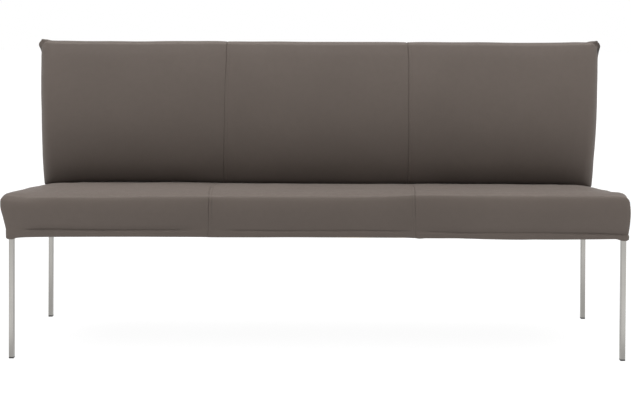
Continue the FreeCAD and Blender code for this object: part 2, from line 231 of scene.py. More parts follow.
def settle(name, v, f, hold, pressure, stiff, draw, cap, frames=20):
    """Lets a sheet of leather swell over its filling for a moment. It starts drawn in by draw
    millimetres; hold is 1 where it is sewn or stapled and less where only the foam carries
    it. Gives how far each point ends from v."""
    held = hold > 0.99
    edges = np.unique(np.sort(np.concatenate([f[:, [k, (k + 1) % 4]] for k in range(4)]), axis=1), axis=0)
    free = draw * evened(np.where(held, 0.0, 1.0), edges, 4, held)
    start = v - vertex_normals(v, f) * free[:, None]
    # points that lie together become one, because a spring of the cloth needs a length
    bm = bmesh.new()
    for p in start.tolist():
        bm.verts.new(p)
    bm.verts.index_update()
    one = np.arange(len(v))
    for p, q in bmesh.ops.find_doubles(bm, verts=bm.verts[:], dist=1.0)["targetmap"].items():
        one[p.index] = q.index
    bm.free()
    kept, same = np.unique(one, return_inverse=True)
    quads = []
    for q in same[f].tolist():
        q = [p for k, p in enumerate(q) if p != q[k - 1]]
        if len(q) > 2 and len(set(q)) == len(q):
            quads.append(q)
    pin = np.zeros(len(kept))
    np.maximum.at(pin, same, hold)
    me = bpy.data.meshes.new(name)
    me.from_pydata((start[kept] * 0.001).tolist(), [], quads)
    me.update()
    ob = bpy.data.objects.new(name, me)
    scene.collection.objects.link(ob)
    group = ob.vertex_groups.new(name="held")
    for w in np.unique(np.round(pin, 2)):
        if w > 0:
            group.add(np.nonzero(np.round(pin, 2) == w)[0].tolist(), float(w), "REPLACE")
    mod = ob.modifiers.new("Cloth", "CLOTH")
    st = mod.settings
    st.quality = 7
    st.mass = 0.35
    st.air_damping = 3.0
    st.tension_stiffness = stiff
    st.compression_stiffness = stiff
    st.shear_stiffness = 0.5 * stiff
    st.bending_stiffness = 6.0
    st.tension_damping = st.compression_damping = st.shear_damping = 10.0
    st.vertex_group_mass = "held"
    st.pin_stiffness = 1.0
    st.use_pressure = True
    st.uniform_pressure_force = pressure
    st.effector_weights.gravity = 0.0
    mod.collision_settings.use_collision = False
    mod.collision_settings.use_self_collision = False
    mod.point_cache.frame_start = 1
    mod.point_cache.frame_end = frames
    for k in range(1, frames + 1):
        scene.frame_set(k)
    dg = bpy.context.evaluated_depsgraph_get()
    ev = ob.evaluated_get(dg)
    got = ev.to_mesh()
    co = np.zeros(len(kept) * 3)
    got.vertices.foreach_get("co", co)
    ev.to_mesh_clear()
    bpy.data.objects.remove(ob)
    bpy.data.meshes.remove(me)
    scene.frame_set(1)
    move = co.reshape(-1, 3) * 1000.0 - start[kept]
    far = np.linalg.norm(move, axis=1)
    move = move * (cap * np.tanh(far / cap) / np.maximum(far, 1e-9))[:, None]
    end = evened(start + move[same] - v, edges, 2, held)
    off = np.linalg.norm(end, axis=1)
    print("cloth", name, "points", len(kept), "moved mm mean", round(float(far.mean()), 2), "most", round(float(far.max()), 2),
          "ends off mm mean", round(float(off.mean()), 2), "most", round(float(off.max()), 2))
    return end


def carry(coarse_v, coarse_f, move, fine_v):
    """Takes a coarse sheet's movement over to a finer one that lies on it."""
    if not np.any(move):
        return np.zeros_like(fine_v)
    tri = np.concatenate([coarse_f[:, [0, 1, 2]], coarse_f[:, [0, 2, 3]]])
    tree = BVHTree.FromPolygons(coarse_v.tolist(), tri.tolist())
    out = np.zeros_like(fine_v)
    hit_at = np.zeros_like(fine_v)
    hit = np.zeros(len(fine_v), int)
    for k, p in enumerate(fine_v.tolist()):
        where, _, index, _ = tree.find_nearest(p)
        hit_at[k] = where
        hit[k] = index
    a, b, c = (coarse_v[tri[hit][:, k]] for k in range(3))
    e0, e1, e2 = b - a, c - a, hit_at - a
    d00, d01, d11 = (e0 * e0).sum(1), (e0 * e1).sum(1), (e1 * e1).sum(1)
    d20, d21 = (e2 * e0).sum(1), (e2 * e1).sum(1)
    den = np.maximum(d00 * d11 - d01 * d01, 1e-9)
    wb = np.clip((d11 * d20 - d01 * d21) / den, 0, 1)
    wc = np.clip((d00 * d21 - d01 * d20) / den, 0, 1)
    wa = np.clip(1 - wb - wc, 0, 1)
    t = tri[hit]
    return wa[:, None] * move[t[:, 0]] + wb[:, None] * move[t[:, 1]] + wc[:, None] * move[t[:, 2]]


# ------------------------------------------------------------------ materials
def tree(name):
    m = bpy.data.materials.new(name)
    m.use_nodes = True
    t = m.node_tree
    bsdf = t.nodes["Principled BSDF"]
    return m, t, bsdf


def add(t, kind, **values):
    n = t.nodes.new(kind)
    for k, x in values.items():
        setattr(n, k, x)
    return n


def mapped(t, scale=(1, 1, 1), turn=(0, 0, 0)):
    """Object coordinates, in metres, scaled."""
    co = add(t, "ShaderNodeTexCoord")
    mp = add(t, "ShaderNodeMapping")
    mp.inputs["Scale"].default_value = scale
    mp.inputs["Rotation"].default_value = turn
    t.links.new(co.outputs["Object"], mp.inputs["Vector"])
    return mp.outputs["Vector"]


def noise(t, vector, scale, detail=3.0, rough=0.5):
    n = add(t, "ShaderNodeTexNoise")
    n.inputs["Scale"].default_value = scale
    n.inputs["Detail"].default_value = detail
    n.inputs["Roughness"].default_value = rough
    t.links.new(vector, n.inputs["Vector"])
    return n.outputs["Fac"]


def ramp(t, fac, stops):
    r = add(t, "ShaderNodeValToRGB")
    while len(r.color_ramp.elements) < len(stops):
        r.color_ramp.elements.new(0.5)
    for e, (at, col) in zip(r.color_ramp.elements, stops):
        e.position = at
        e.color = (*col, 1.0) if len(col) == 3 else col
    t.links.new(fac, r.inputs["Fac"])
    return r.outputs["Color"]


def span(t, fac, lo, hi, a=0.0, b=1.0):
    r = add(t, "ShaderNodeMapRange")
    r.inputs["From Min"].default_value = a
    r.inputs["From Max"].default_value = b
    r.inputs["To Min"].default_value = lo
    r.inputs["To Max"].default_value = hi
    t.links.new(fac, r.inputs["Value"])
    return r.outputs["Result"]


def math_node(t, op, a, b):
    n = add(t, "ShaderNodeMath", operation=op)
    for k, x in enumerate((a, b)):
        if isinstance(x, (int, float)):
            n.inputs[k].default_value = x
        else:
            t.links.new(x, n.inputs[k])
    return n.outputs[0]


def blend_colour(t, fac, a, b, how="MIX"):
    n = add(t, "ShaderNodeMix", data_type="RGBA", blend_type=how)
    for key, x in (("Factor", fac), ("A", a), ("B", b)):
        sock = [s for s in n.inputs if s.name == key and (s.type == "VALUE" if key == "Factor" else s.type == "RGBA")][0]
        if isinstance(x, (int, float)):
            sock.default_value = x
        elif isinstance(x, tuple):
            sock.default_value = (*x, 1.0)
        else:
            t.links.new(x, sock)
    return [s for s in n.outputs if s.type == "RGBA"][0]


def bump(t, bsdf, height, strength, distance, below=None):
    b = add(t, "ShaderNodeBump")
    b.inputs["Strength"].default_value = strength
    b.inputs["Distance"].default_value = distance
    t.links.new(height, b.inputs["Height"])
    if below is not None:
        t.links.new(below, b.inputs["Normal"])
    t.links.new(b.outputs["Normal"], bsdf.inputs["Normal"])
    return b.outputs["Normal"]


def leather_material():
    m, t, p = tree("leather_taupe")
    co = mapped(t)
    # Dyed hide: a slow drift of tone, a finer mottle, darker pores and darker seam lines, and painted shade carried in
    # the same attribute as the seams.
    drift = noise(t, co, 3.2, 2.0)
    mottle = noise(t, co, 46.0, 4.0, 0.6)
    tone = ramp(t, drift, [(0.30, LEATHER_DARK), (0.70, LEATHER_LIGHT)])
    tone = blend_colour(t, span(t, mottle, 0.0, 0.16, 0.35, 0.65), tone, LEATHER_MOTTLE)
    cells = add(t, "ShaderNodeTexVoronoi", feature="DISTANCE_TO_EDGE")
    cells.inputs["Scale"].default_value = 620.0
    wobble = noise(t, co, 320.0, 2.0)
    shift = add(t, "ShaderNodeVectorMath", operation="SCALE")
    shift.inputs["Scale"].default_value = 0.0009
    centred = add(t, "ShaderNodeTexNoise")
    centred.inputs["Scale"].default_value = 300.0
    centred.inputs["Detail"].default_value = 2.0
    t.links.new(co, centred.inputs["Vector"])
    t.links.new(centred.outputs["Color"], shift.inputs[0])
    bent = add(t, "ShaderNodeVectorMath", operation="ADD")
    t.links.new(co, bent.inputs[0])
    t.links.new(shift.outputs[0], bent.inputs[1])
    t.links.new(bent.outputs[0], cells.inputs["Vector"])
    pores = span(t, cells.outputs["Distance"], 0.0, 1.0, 0.0, 0.22)
    tone = blend_colour(t, span(t, pores, 0.10, 0.0), tone, LEATHER_PORE)
    seam_and_shade = add(t, "ShaderNodeAttribute", attribute_name="seam_and_shade")
    # the seam attribute blends to a darker colour for seam lines and for painted shade in the front crease, low on the
    # back and in the top corners' folds; above 1 it blends on to the painted shade of the right-hand corner's folded
    # edge
    tone = blend_colour(t, seam_and_shade.outputs["Fac"], tone, LEATHER_SEAM_AND_SHADE)
    tone = blend_colour(t, math_node(t, "SUBTRACT", seam_and_shade.outputs["Fac"], 1.0), tone, LEATHER_FOLD_SHADE)
    t.links.new(tone, p.inputs["Base Color"])
    patchy = math_node(t, "ADD", span(t, mottle, -0.05, 0.05, 0.3, 0.7), span(t, drift, 0.58, 0.64, 0.3, 0.7))
    t.links.new(patchy, p.inputs["Roughness"])
    p.inputs["Specular IOR Level"].default_value = LEATHER_SPECULAR
    p.inputs["IOR"].default_value = 1.46
    p.inputs["Sheen Weight"].default_value = 0.05
    p.inputs["Sheen Roughness"].default_value = 0.5
    grain = math_node(t, "ADD", math_node(t, "MULTIPLY", pores, 0.7), math_node(t, "MULTIPLY", wobble, 0.6))
    low = noise(t, co, 70.0, 3.0, 0.55)
    first = add(t, "ShaderNodeBump")
    first.inputs["Strength"].default_value = 0.30
    first.inputs["Distance"].default_value = 0.0006
    t.links.new(low, first.inputs["Height"])
    bump(t, p, grain, 0.35, 0.00022, first.outputs["Normal"])
    return m


def thread_material():
    m, t, p = tree("thread_taupe")
    ply = noise(t, mapped(t, (900, 900, 900)), 1.0, 2.0)
    t.links.new(ramp(t, ply, [(0.35, (0.070, 0.055, 0.047)), (0.65, (0.115, 0.094, 0.081))]), p.inputs["Base Color"])
    t.links.new(span(t, ply, 0.55, 0.75), p.inputs["Roughness"])
    bump(t, p, ply, 0.4, 0.0001)
    return m


def brushed_material(name, dark, light, rough, along, streak=1.0, metallic=1.0):
    """Metal with fine drawn lines along one axis."""
    m, t, p = tree(name)
    stretch = [1400.0, 1400.0, 1400.0]
    stretch[along] = 9.0
    lines = noise(t, mapped(t, tuple(stretch)), 1.0, 3.0, 0.6)
    blotch = noise(t, mapped(t), 24.0, 2.0)
    tone = ramp(t, lines, [(0.32, dark), (0.68, light)])
    tone = blend_colour(t, span(t, blotch, 0.0, 0.12, 0.4, 0.7), tone, dark)
    t.links.new(tone, p.inputs["Base Color"])
    p.inputs["Metallic"].default_value = metallic
    t.links.new(math_node(t, "ADD", span(t, lines, -0.05 * streak, 0.05 * streak), span(t, blotch, rough - 0.03, rough + 0.03)),
                p.inputs["Roughness"])
    bump(t, p, lines, 0.10 * streak, 0.00006)
    return m


def moulded_material(name, dark, light, rough, scale=1500.0):
    """Textured plastic or powder coat."""
    m, t, p = tree(name)
    co = mapped(t)
    fine = noise(t, co, scale, 3.0, 0.6)
    slow = noise(t, co, 60.0, 2.0)
    t.links.new(ramp(t, slow, [(0.3, dark), (0.7, light)]), p.inputs["Base Color"])
    t.links.new(span(t, fine, rough - 0.06, rough + 0.06, 0.3, 0.7), p.inputs["Roughness"])
    bump(t, p, fine, 0.25, 0.00012)
    return m


def wood_material(name, along, dark, light):
    m, t, p = tree(name)
    stretch = [26.0, 26.0, 26.0]
    stretch[along] = 1.6
    figure = noise(t, mapped(t, tuple(stretch)), 2.2, 4.0, 0.55)
    fleck_stretch = [420.0, 420.0, 420.0]
    fleck_stretch[along] = 38.0
    fleck = noise(t, mapped(t, tuple(fleck_stretch)), 1.0, 2.0)
    tone = ramp(t, figure, [(0.28, dark), (0.52, light), (0.75, dark)])
    tone = blend_colour(t, span(t, fleck, 0.0, 0.35, 0.55, 0.75), tone, tuple(0.55 * c for c in dark))
    t.links.new(tone, p.inputs["Base Color"])
    t.links.new(span(t, figure, 0.55, 0.70, 0.3, 0.7), p.inputs["Roughness"])
    bump(t, p, fleck, 0.2, 0.0002)
    return m


def woven_material(name, dark, light, pitch):
    """Over-and-under weave along X and Z or Y."""
    m, t, p = tree(name)
    co = mapped(t)
    waves_ = []
    for axis in ("X", "Y", "Z"):
        w = add(t, "ShaderNodeTexWave", wave_type="BANDS", bands_direction=axis)
        w.inputs["Scale"].default_value = 0.314 / pitch
        w.inputs["Distortion"].default_value = 0.4
        t.links.new(co, w.inputs["Vector"])
        waves_.append(w.outputs["Fac"])
    knit = math_node(t, "ADD", math_node(t, "MULTIPLY", waves_[0], 0.5),
                     math_node(t, "MULTIPLY", math_node(t, "ADD", waves_[1], waves_[2]), 0.25))
    t.links.new(ramp(t, knit, [(0.25, dark), (0.75, light)]), p.inputs["Base Color"])
    t.links.new(span(t, knit, 0.75, 0.9), p.inputs["Roughness"])
    bump(t, p, knit, 0.5, 0.0004)
    return m


def fibrous_material(name, dark, light, scale, rough=0.9, strength=0.5):
    """Felt, fleece, non-woven cloth or open-cell foam."""
    m, t, p = tree(name)
    co = mapped(t)
    fibre = noise(t, co, scale, 5.0, 0.65)
    cloud = noise(t, co, scale * 0.06, 2.0)
    tone = ramp(t, fibre, [(0.3, dark), (0.7, light)])
    tone = blend_colour(t, span(t, cloud, 0.0, 0.2, 0.4, 0.7), tone, dark)
    t.links.new(tone, p.inputs["Base Color"])
    t.links.new(span(t, fibre, rough - 0.06, rough + 0.06), p.inputs["Roughness"])
    bump(t, p, fibre, strength, 0.0005)
    return m


LEATHER_DARK = (0.0953, 0.0779, 0.0674)
LEATHER_LIGHT = (0.1038, 0.0851, 0.0738)
LEATHER_MOTTLE = (0.0835, 0.0684, 0.0591)
LEATHER_PORE = (0.0675, 0.0540, 0.0464)
# darker colour for seam lines and for painted shade in creases, folds and low on the back
LEATHER_SEAM_AND_SHADE = (0.0450, 0.0350, 0.0296)
# painted shade along the right-hand top corner's folded edge
LEATHER_FOLD_SHADE = (0.0280, 0.0220, 0.0188)
LEATHER_SPECULAR = 0.16

leather = leather_material()
thread = thread_material()
steel = brushed_material("steel_brushed", (0.284, 0.276, 0.260), (0.333, 0.324, 0.307), 0.30, 2)
zinc = brushed_material("zinc_plated", (0.48, 0.49, 0.50), (0.60, 0.61, 0.62), 0.38, 0, 0.5)
glide = moulded_material("glide_plastic", (0.022, 0.021, 0.020), (0.036, 0.035, 0.034), 0.55)
coat = moulded_material("powder_coat", (0.030, 0.030, 0.032), (0.046, 0.046, 0.049), 0.55, 900.0)
beech_x = wood_material("beech_along", 0, (0.46, 0.285, 0.155), (0.60, 0.405, 0.235))
beech_y = wood_material("beech_across", 1, (0.46, 0.285, 0.155), (0.60, 0.405, 0.235))
plywood = wood_material("plywood_sheet", 0, (0.50, 0.35, 0.205), (0.63, 0.465, 0.295))
webbing = woven_material("webbing_woven", (0.030, 0.030, 0.031), (0.085, 0.084, 0.083), 0.0022)
felt = fibrous_material("felt_needled", (0.19, 0.185, 0.18), (0.34, 0.33, 0.32), 520.0)
foam = fibrous_material("foam_open_cell", (0.66, 0.60, 0.42), (0.84, 0.79, 0.60), 900.0, 0.92, 0.6)
fleece = fibrous_material("wadding_fleece", (0.74, 0.74, 0.73), (0.90, 0.90, 0.89), 260.0, 0.95, 0.7)
dust = fibrous_material("dust_cloth", (0.012, 0.012, 0.012), (0.032, 0.032, 0.032), 700.0, 0.88, 0.4)

for name, ob in nodes.items():
    if name.startswith("leg_plate_") and name != "leg_plate_screws":
        m = coat
    elif name in ("leg_plate_screws", "upright_bolts", "upright_nuts", "back_rail_screws", "dust_cover_staples"):
        m = zinc
    elif name.startswith("leg_"):
        m = steel
    elif name.startswith("foot_glide"):
        m = glide
    elif name.startswith("back_upright"):
        m = coat
    elif name == "back_panel":
        m = plywood
    elif name in ("seat_left_rail", "seat_right_rail", "frame_dowels") or "cross_rail" in name:
        m = beech_y
    elif name.endswith("_rail") or name == "corner_blocks":
        m = beech_x
    elif name.endswith("webbing"):
        m = webbing
    elif name == "seat_insulator_pad":
        m = felt
    elif name == "dust_cover":
        m = dust
    else:
        m = leather
    ob.data.materials.clear()
    ob.data.materials.append(m)
    ob.data.polygons.foreach_set("material_index", np.zeros(len(ob.data.polygons), np.int32))


# ------------------------------------------------------------------ the seat cover
SEAT_SEAMS = (-325.5, 293.5)
SEAT_X = 0.0
SEAT_LO = np.array([-947.5, -22.0, 374.0])
SEAT_HI = np.array([947.5, 510.0, 501.0])
R_SIDE, R_FRONT, R_TOP, R_BOTTOM = 22.0, 7.0, 21.0, 5.0
HEM = 34.0

seat_half = hermite([(360, 933.4), (374, 933.5), (384, 933.4), (392, 932.8), (404, 933.6), (419, 935.6), (438, 938.6),
                     (452, 941.7), (464, 943.3), (476, 943.3), (488, 943.0), (501, 943.8)])
seat_half_right = hermite([(360, 932.2), (374, 932.4), (384, 933.2), (397, 932.2), (404, 932.6), (412, 932.8), (421, 932.7),
                           (430, 932.3), (445, 931.7), (457, 931.0), (469, 929.8), (481, 928.4), (488, 928.4), (501, 929.2)])
seat_front = hermite([(360, -3.0), (374, -4.0), (380, -5.0), (392, -6.5), (400, -7.0), (412, -9.5), (427, -14.0),
                      (445, -18.5), (460, -21.2), (472, -22.0), (501, -22.0)])
seat_top = spline([(-22, 499.0), (0, 499.6), (40, 501.2), (100, 501.0), (200, 497.0), (300, 490.8), (400, 483.6),
                   (432, 480.6), (470, 477.5), (510, 475.0)])
seat_lip = hermite([(-947, 3.0), (-900, 0.6), (-860, -1.2), (-777, -1.9), (-600, -1.0), (-511, 1.0), (-420, 1.6), (-245, 2.2), (20, 3.5), (150, 3.8),
                    (200, 5.5), (290, 8.2), (375, 9.0), (464, 8.0), (740, 8.0), (900, 6.0), (947, 4.0)])
seat_rear = hermite([(374, 508.5), (400, 509.5), (430, 511.0), (455, 511.0), (501, 509.0)])
end_drop = hermite([(-22, -3.4), (0, -2.2), (25, 0.6), (60, 2.9), (100, 4.9), (160, 6.5), (235, 8.2), (310, 11.0), (390, 12.6), (510, 12.6)])
end_drop_right = hermite([(-22, -1.6), (5, -0.4), (40, -0.4), (85, 0.8), (120, 3.0), (150, 5.0), (190, 6.0), (260, 8.4), (390, 10.4),
                          (510, 10.4)])
hem_line = hermite([(-960, 363.3), (-930, 363.3), (-915, 363.5), (-900, 368.0), (-860, 370.2), (-770, 371.4),
                    (-642, 372.9), (-547, 373.6), (-453, 373.8), (-390, 373.9), (-358, 373.8), (-335, 372.8), (-311, 372.0),
                    (-264, 372.7), (-170, 373.3), (-122, 374.1), (-75, 375.0), (20, 376.0), (130, 376.3), (250, 374.7),
                    (286, 372.2), (300, 370.6), (321, 372.3), (350, 372.2), (420, 372.6), (442, 372.0), (468, 371.4), (500, 370.0),
                    (562, 369.1), (609, 369.0), (656, 370.0), (704, 370.3), (751, 370.1), (845, 371.4),
                    (895, 372.0), (906, 368.0), (918, 365.6), (960, 365.2)])
meet_low = hermite([(-960, 1.2), (-930, 1.2), (-915, 0.8), (-890, 1.6), (-875, 2.8), (-850, 3.5), (-819, 3.2), (-798, 2.4), (-757, 1.8),
                    (-700, 1.1), (-640, 0.8), (-570, 0.2), (-430, -0.8), (-300, 0.0), (0, 0.4), (118, 1.6), (200, 0.6), (255, -1.0),
                    (323, -1.7), (391, -1.4), (460, -0.5), (528, 0.3), (631, 0.3), (802, 0.6), (836, 1.4), (856, 1.6), (877, 0.9),
                    (897, 0.4), (918, 0.0), (960, 0.0)])
low_wave = hermite([(-900, 0.0), (-640, 0.4), (-300, -2.0), (0, -4.0), (480, -2.8), (700, -2.6), (838, -2.2), (970, -2.0)])
seat_swell = waves(11, 9, 90.0, 420.0)
BACK_LOW = 479.0


def back_underside(x):
    """Height of the back's lower edge, which follows the seat down at the two ends."""
    return BACK_LOW + low_wave(x) - meet_low(x) - 9.0 * smooth(800, 940, np.abs(x))


def corner_steps(r, k):
    """Distances from a box edge whose points fall evenly on the rounded edge."""
    return [r * (1 - math.tan(math.radians(45.0 * i / k))) for i in range(k + 1)]


def seat_axes(fine):
    k, step = (6, 9.0) if fine else (3, 16.0)
    x = [SEAT_LO[0] + d for d in corner_steps(R_SIDE, k)] + [SEAT_HI[0] - d for d in corner_steps(R_SIDE, k)]
    for s in SEAT_SEAMS:
        x += about(s, fine)
    if fine:
        x += list(np.arange(-921, -870, 5.0)) + list(np.arange(860, 921, 4.0))
    y = [SEAT_LO[1] + d for d in corner_steps(R_FRONT, k)] + [SEAT_HI[1] - d for d in corner_steps(R_FRONT, k)]
    z = [SEAT_LO[2] + d for d in corner_steps(R_BOTTOM, 3 if fine else 2)] + [SEAT_HI[2] - d for d in corner_steps(R_TOP, k)]
    if fine:
        z += list(np.arange(379, 418, 2.0))
    return spaced(x, step), spaced(y, step), spaced(z, 5.0 if fine else 14.0)


def seat_sheet(fine):
    """The outside of the seat's cover: top, four sides and a hem turned under."""
    xs, ys, zs = seat_axes(fine)
    nx, ny, nz = len(xs) - 1, len(ys) - 1, len(zs) - 1
    index = np.full((nx + 1, ny + 1, nz + 1), -1)
    mask = np.zeros(index.shape, bool)
    mask[0], mask[-1], mask[:, 0], mask[:, -1], mask[:, :, -1] = True, True, True, True, True
    ijk = np.argwhere(mask)
    index[mask] = np.arange(len(ijk))
    b = np.column_stack([xs[ijk[:, 0]], ys[ijk[:, 1]], zs[ijk[:, 2]]])
    f = []

    def quad(a, c, d, e):
        f.append(np.column_stack([a.ravel(), c.ravel(), d.ravel(), e.ravel()]))

    t = index[:, :, nz]
    quad(t[:-1, :-1], t[1:, :-1], t[1:, 1:], t[:-1, 1:])
    t = index[:, 0, :]
    quad(t[:-1, :-1], t[1:, :-1], t[1:, 1:], t[:-1, 1:])
    t = index[:, ny, :]
    quad(t[1:, :-1], t[:-1, :-1], t[:-1, 1:], t[1:, 1:])
    t = index[0]
    quad(t[1:, :-1], t[:-1, :-1], t[:-1, 1:], t[1:, 1:])
    t = index[nx]
    quad(t[:-1, :-1], t[1:, :-1], t[1:, 1:], t[:-1, 1:])

    # Hem: rings that run inwards from the bottom edge.
    loop = np.concatenate([index[:-1, 0, 0], index[nx, :-1, 0], index[:0:-1, ny, 0], index[0, :0:-1, 0]])
    inner = np.column_stack([np.clip(b[loop, 0], SEAT_LO[0] + 18 + HEM, SEAT_HI[0] - 18 - HEM),
                             np.clip(b[loop, 1], 28.0, 476.0)])
    ring = loop
    rings = []
    start = len(b)
    for share in (0.16, 0.4, 0.7, 1.0):
        p = b[loop].copy()
        p[:, :2] += (inner - p[:, :2]) * share
        p[:, 2] = SEAT_LO[2]
        rings.append((share, p))
        nxt = np.arange(start, start + len(loop))
        start += len(loop)
        quad(np.roll(ring, -1), ring, nxt, np.roll(nxt, -1))
        ring = nxt
    hem_share = np.concatenate([np.zeros(len(b))] + [np.full(len(loop), s) for s, _ in rings])
    b = np.concatenate([b] + [p for _, p in rings])
    faces = np.concatenate(f)
    on_front = np.abs(b[:, 1] - SEAT_LO[1]) < 1e-6
    return {"b": b, "f": faces, "hem": hem_share, "front": on_front & (hem_share == 0)}


def rounded(b, lo, hi, rx, ry, top, bottom):
    rz = np.where(b[:, 2] > 0.5 * (lo[2] + hi[2]), top, bottom)
    q = np.column_stack([np.clip(b[:, 0], lo[0] + rx, hi[0] - rx), np.clip(b[:, 1], lo[1] + ry, hi[1] - ry),
                         np.clip(b[:, 2], lo[2] + bottom, hi[2] - top)])
    r = np.column_stack([np.full(len(b), rx), np.full(len(b), ry), rz])
    d = (b - q) / r
    size = np.linalg.norm(d, axis=1)
    size[size == 0] = 1.0
    return q + d * (np.abs(d).max(1) / size)[:, None] * r


def seat_shape(s):
    """Places the sheet's box points on the seat's real form."""
    b, hem = s["b"], s["hem"]
    p = rounded(b, SEAT_LO, SEAT_HI, R_SIDE, R_FRONT, R_TOP, R_BOTTOM)
    x, y, z = p[:, 0].copy(), p[:, 1].copy(), p[:, 2].copy()
    # crown: the top falls towards the back, and a little towards the two ends at the rear
    rise = seat_top(y) - SEAT_HI[2]
    end = smooth(860, 947, np.abs(x))
    rise = rise - end * np.where(x > 0, end_drop_right(y), end_drop(y)) + (seat_lip(x) + 1.7) * (1 - smooth(10, 160, y))
    rise = rise - (2.4 * smooth(-500, -200, x) - 1.2 * smooth(350, 600, x)) * smooth(360, 430, y)
    rise = rise - meet_low(x) * smooth(330, 430, y) * (np.abs(x) < 915)
    lift = smooth(400, 497, z)
    z = z + rise * lift
    # the strip under the back is pressed down by it
    z = z - np.maximum(z - back_underside(x) + 2.8, 0.0) * smooth(431.0, 437.0, y) * (hem == 0)
    # sides lean in below
    zz = p[:, 2]
    x = x * (np.where(x > 0, seat_half_right(zz), seat_half(zz)) / SEAT_HI[0])
    y = y + (seat_front(zz) + 22.0) * (1 - smooth(-22, 140, p[:, 1])) + (seat_rear(zz) - 510.0) * smooth(380, 510, p[:, 1])
    # the bottom edge isn't quite straight, and reaches down over the leg tops
    front = 1 - smooth(0, 60, y)
    low = (1 - smooth(374, 391, p[:, 2])) * (1 - smooth(0.0, 0.35, hem))
    corner_dip = 371.5 - (5.0 * smooth(895, 925, np.abs(x))) * (1 - smooth(0, 45, y))
    corner_dip = corner_dip - 3.5 * smooth(905, 930, np.abs(x)) * smooth(440, 490, y)
    edge = np.minimum((hem_line(x) + 1.4) * front + corner_dip * (1 - front), 375.9)
    z = z + (edge - SEAT_LO[2]) * low
    z = np.where(hem > 0.35, np.maximum(z, 374.8), z)
    # the right-hand front corner is rounder from above than the left-hand one
    x = x + (3.0 + 7.5 * smooth(435, 490, zz)) * smooth(-12, 60, p[:, 1]) * smooth(780, 935, x)
    # the front edge is rounder towards the two ends
    blunt = (5.5 * smooth(760, 930, -x) + 1.5 * smooth(840, 930, x)) * bell(np.hypot(p[:, 1] + 22.0, p[:, 2] - 501.0), 19.0)
    y, z = y + blunt, z - blunt
    x = x + SEAT_X
    return np.column_stack([x, y, z])


seam_bow = [spline([(370, -9.5), (400, -6.5), (440, -2.5), (480, 0.0), (505, 0.0)]),
            spline([(370, 5.0), (400, 3.2), (440, 1.2), (480, 0.0), (505, 0.0)])]


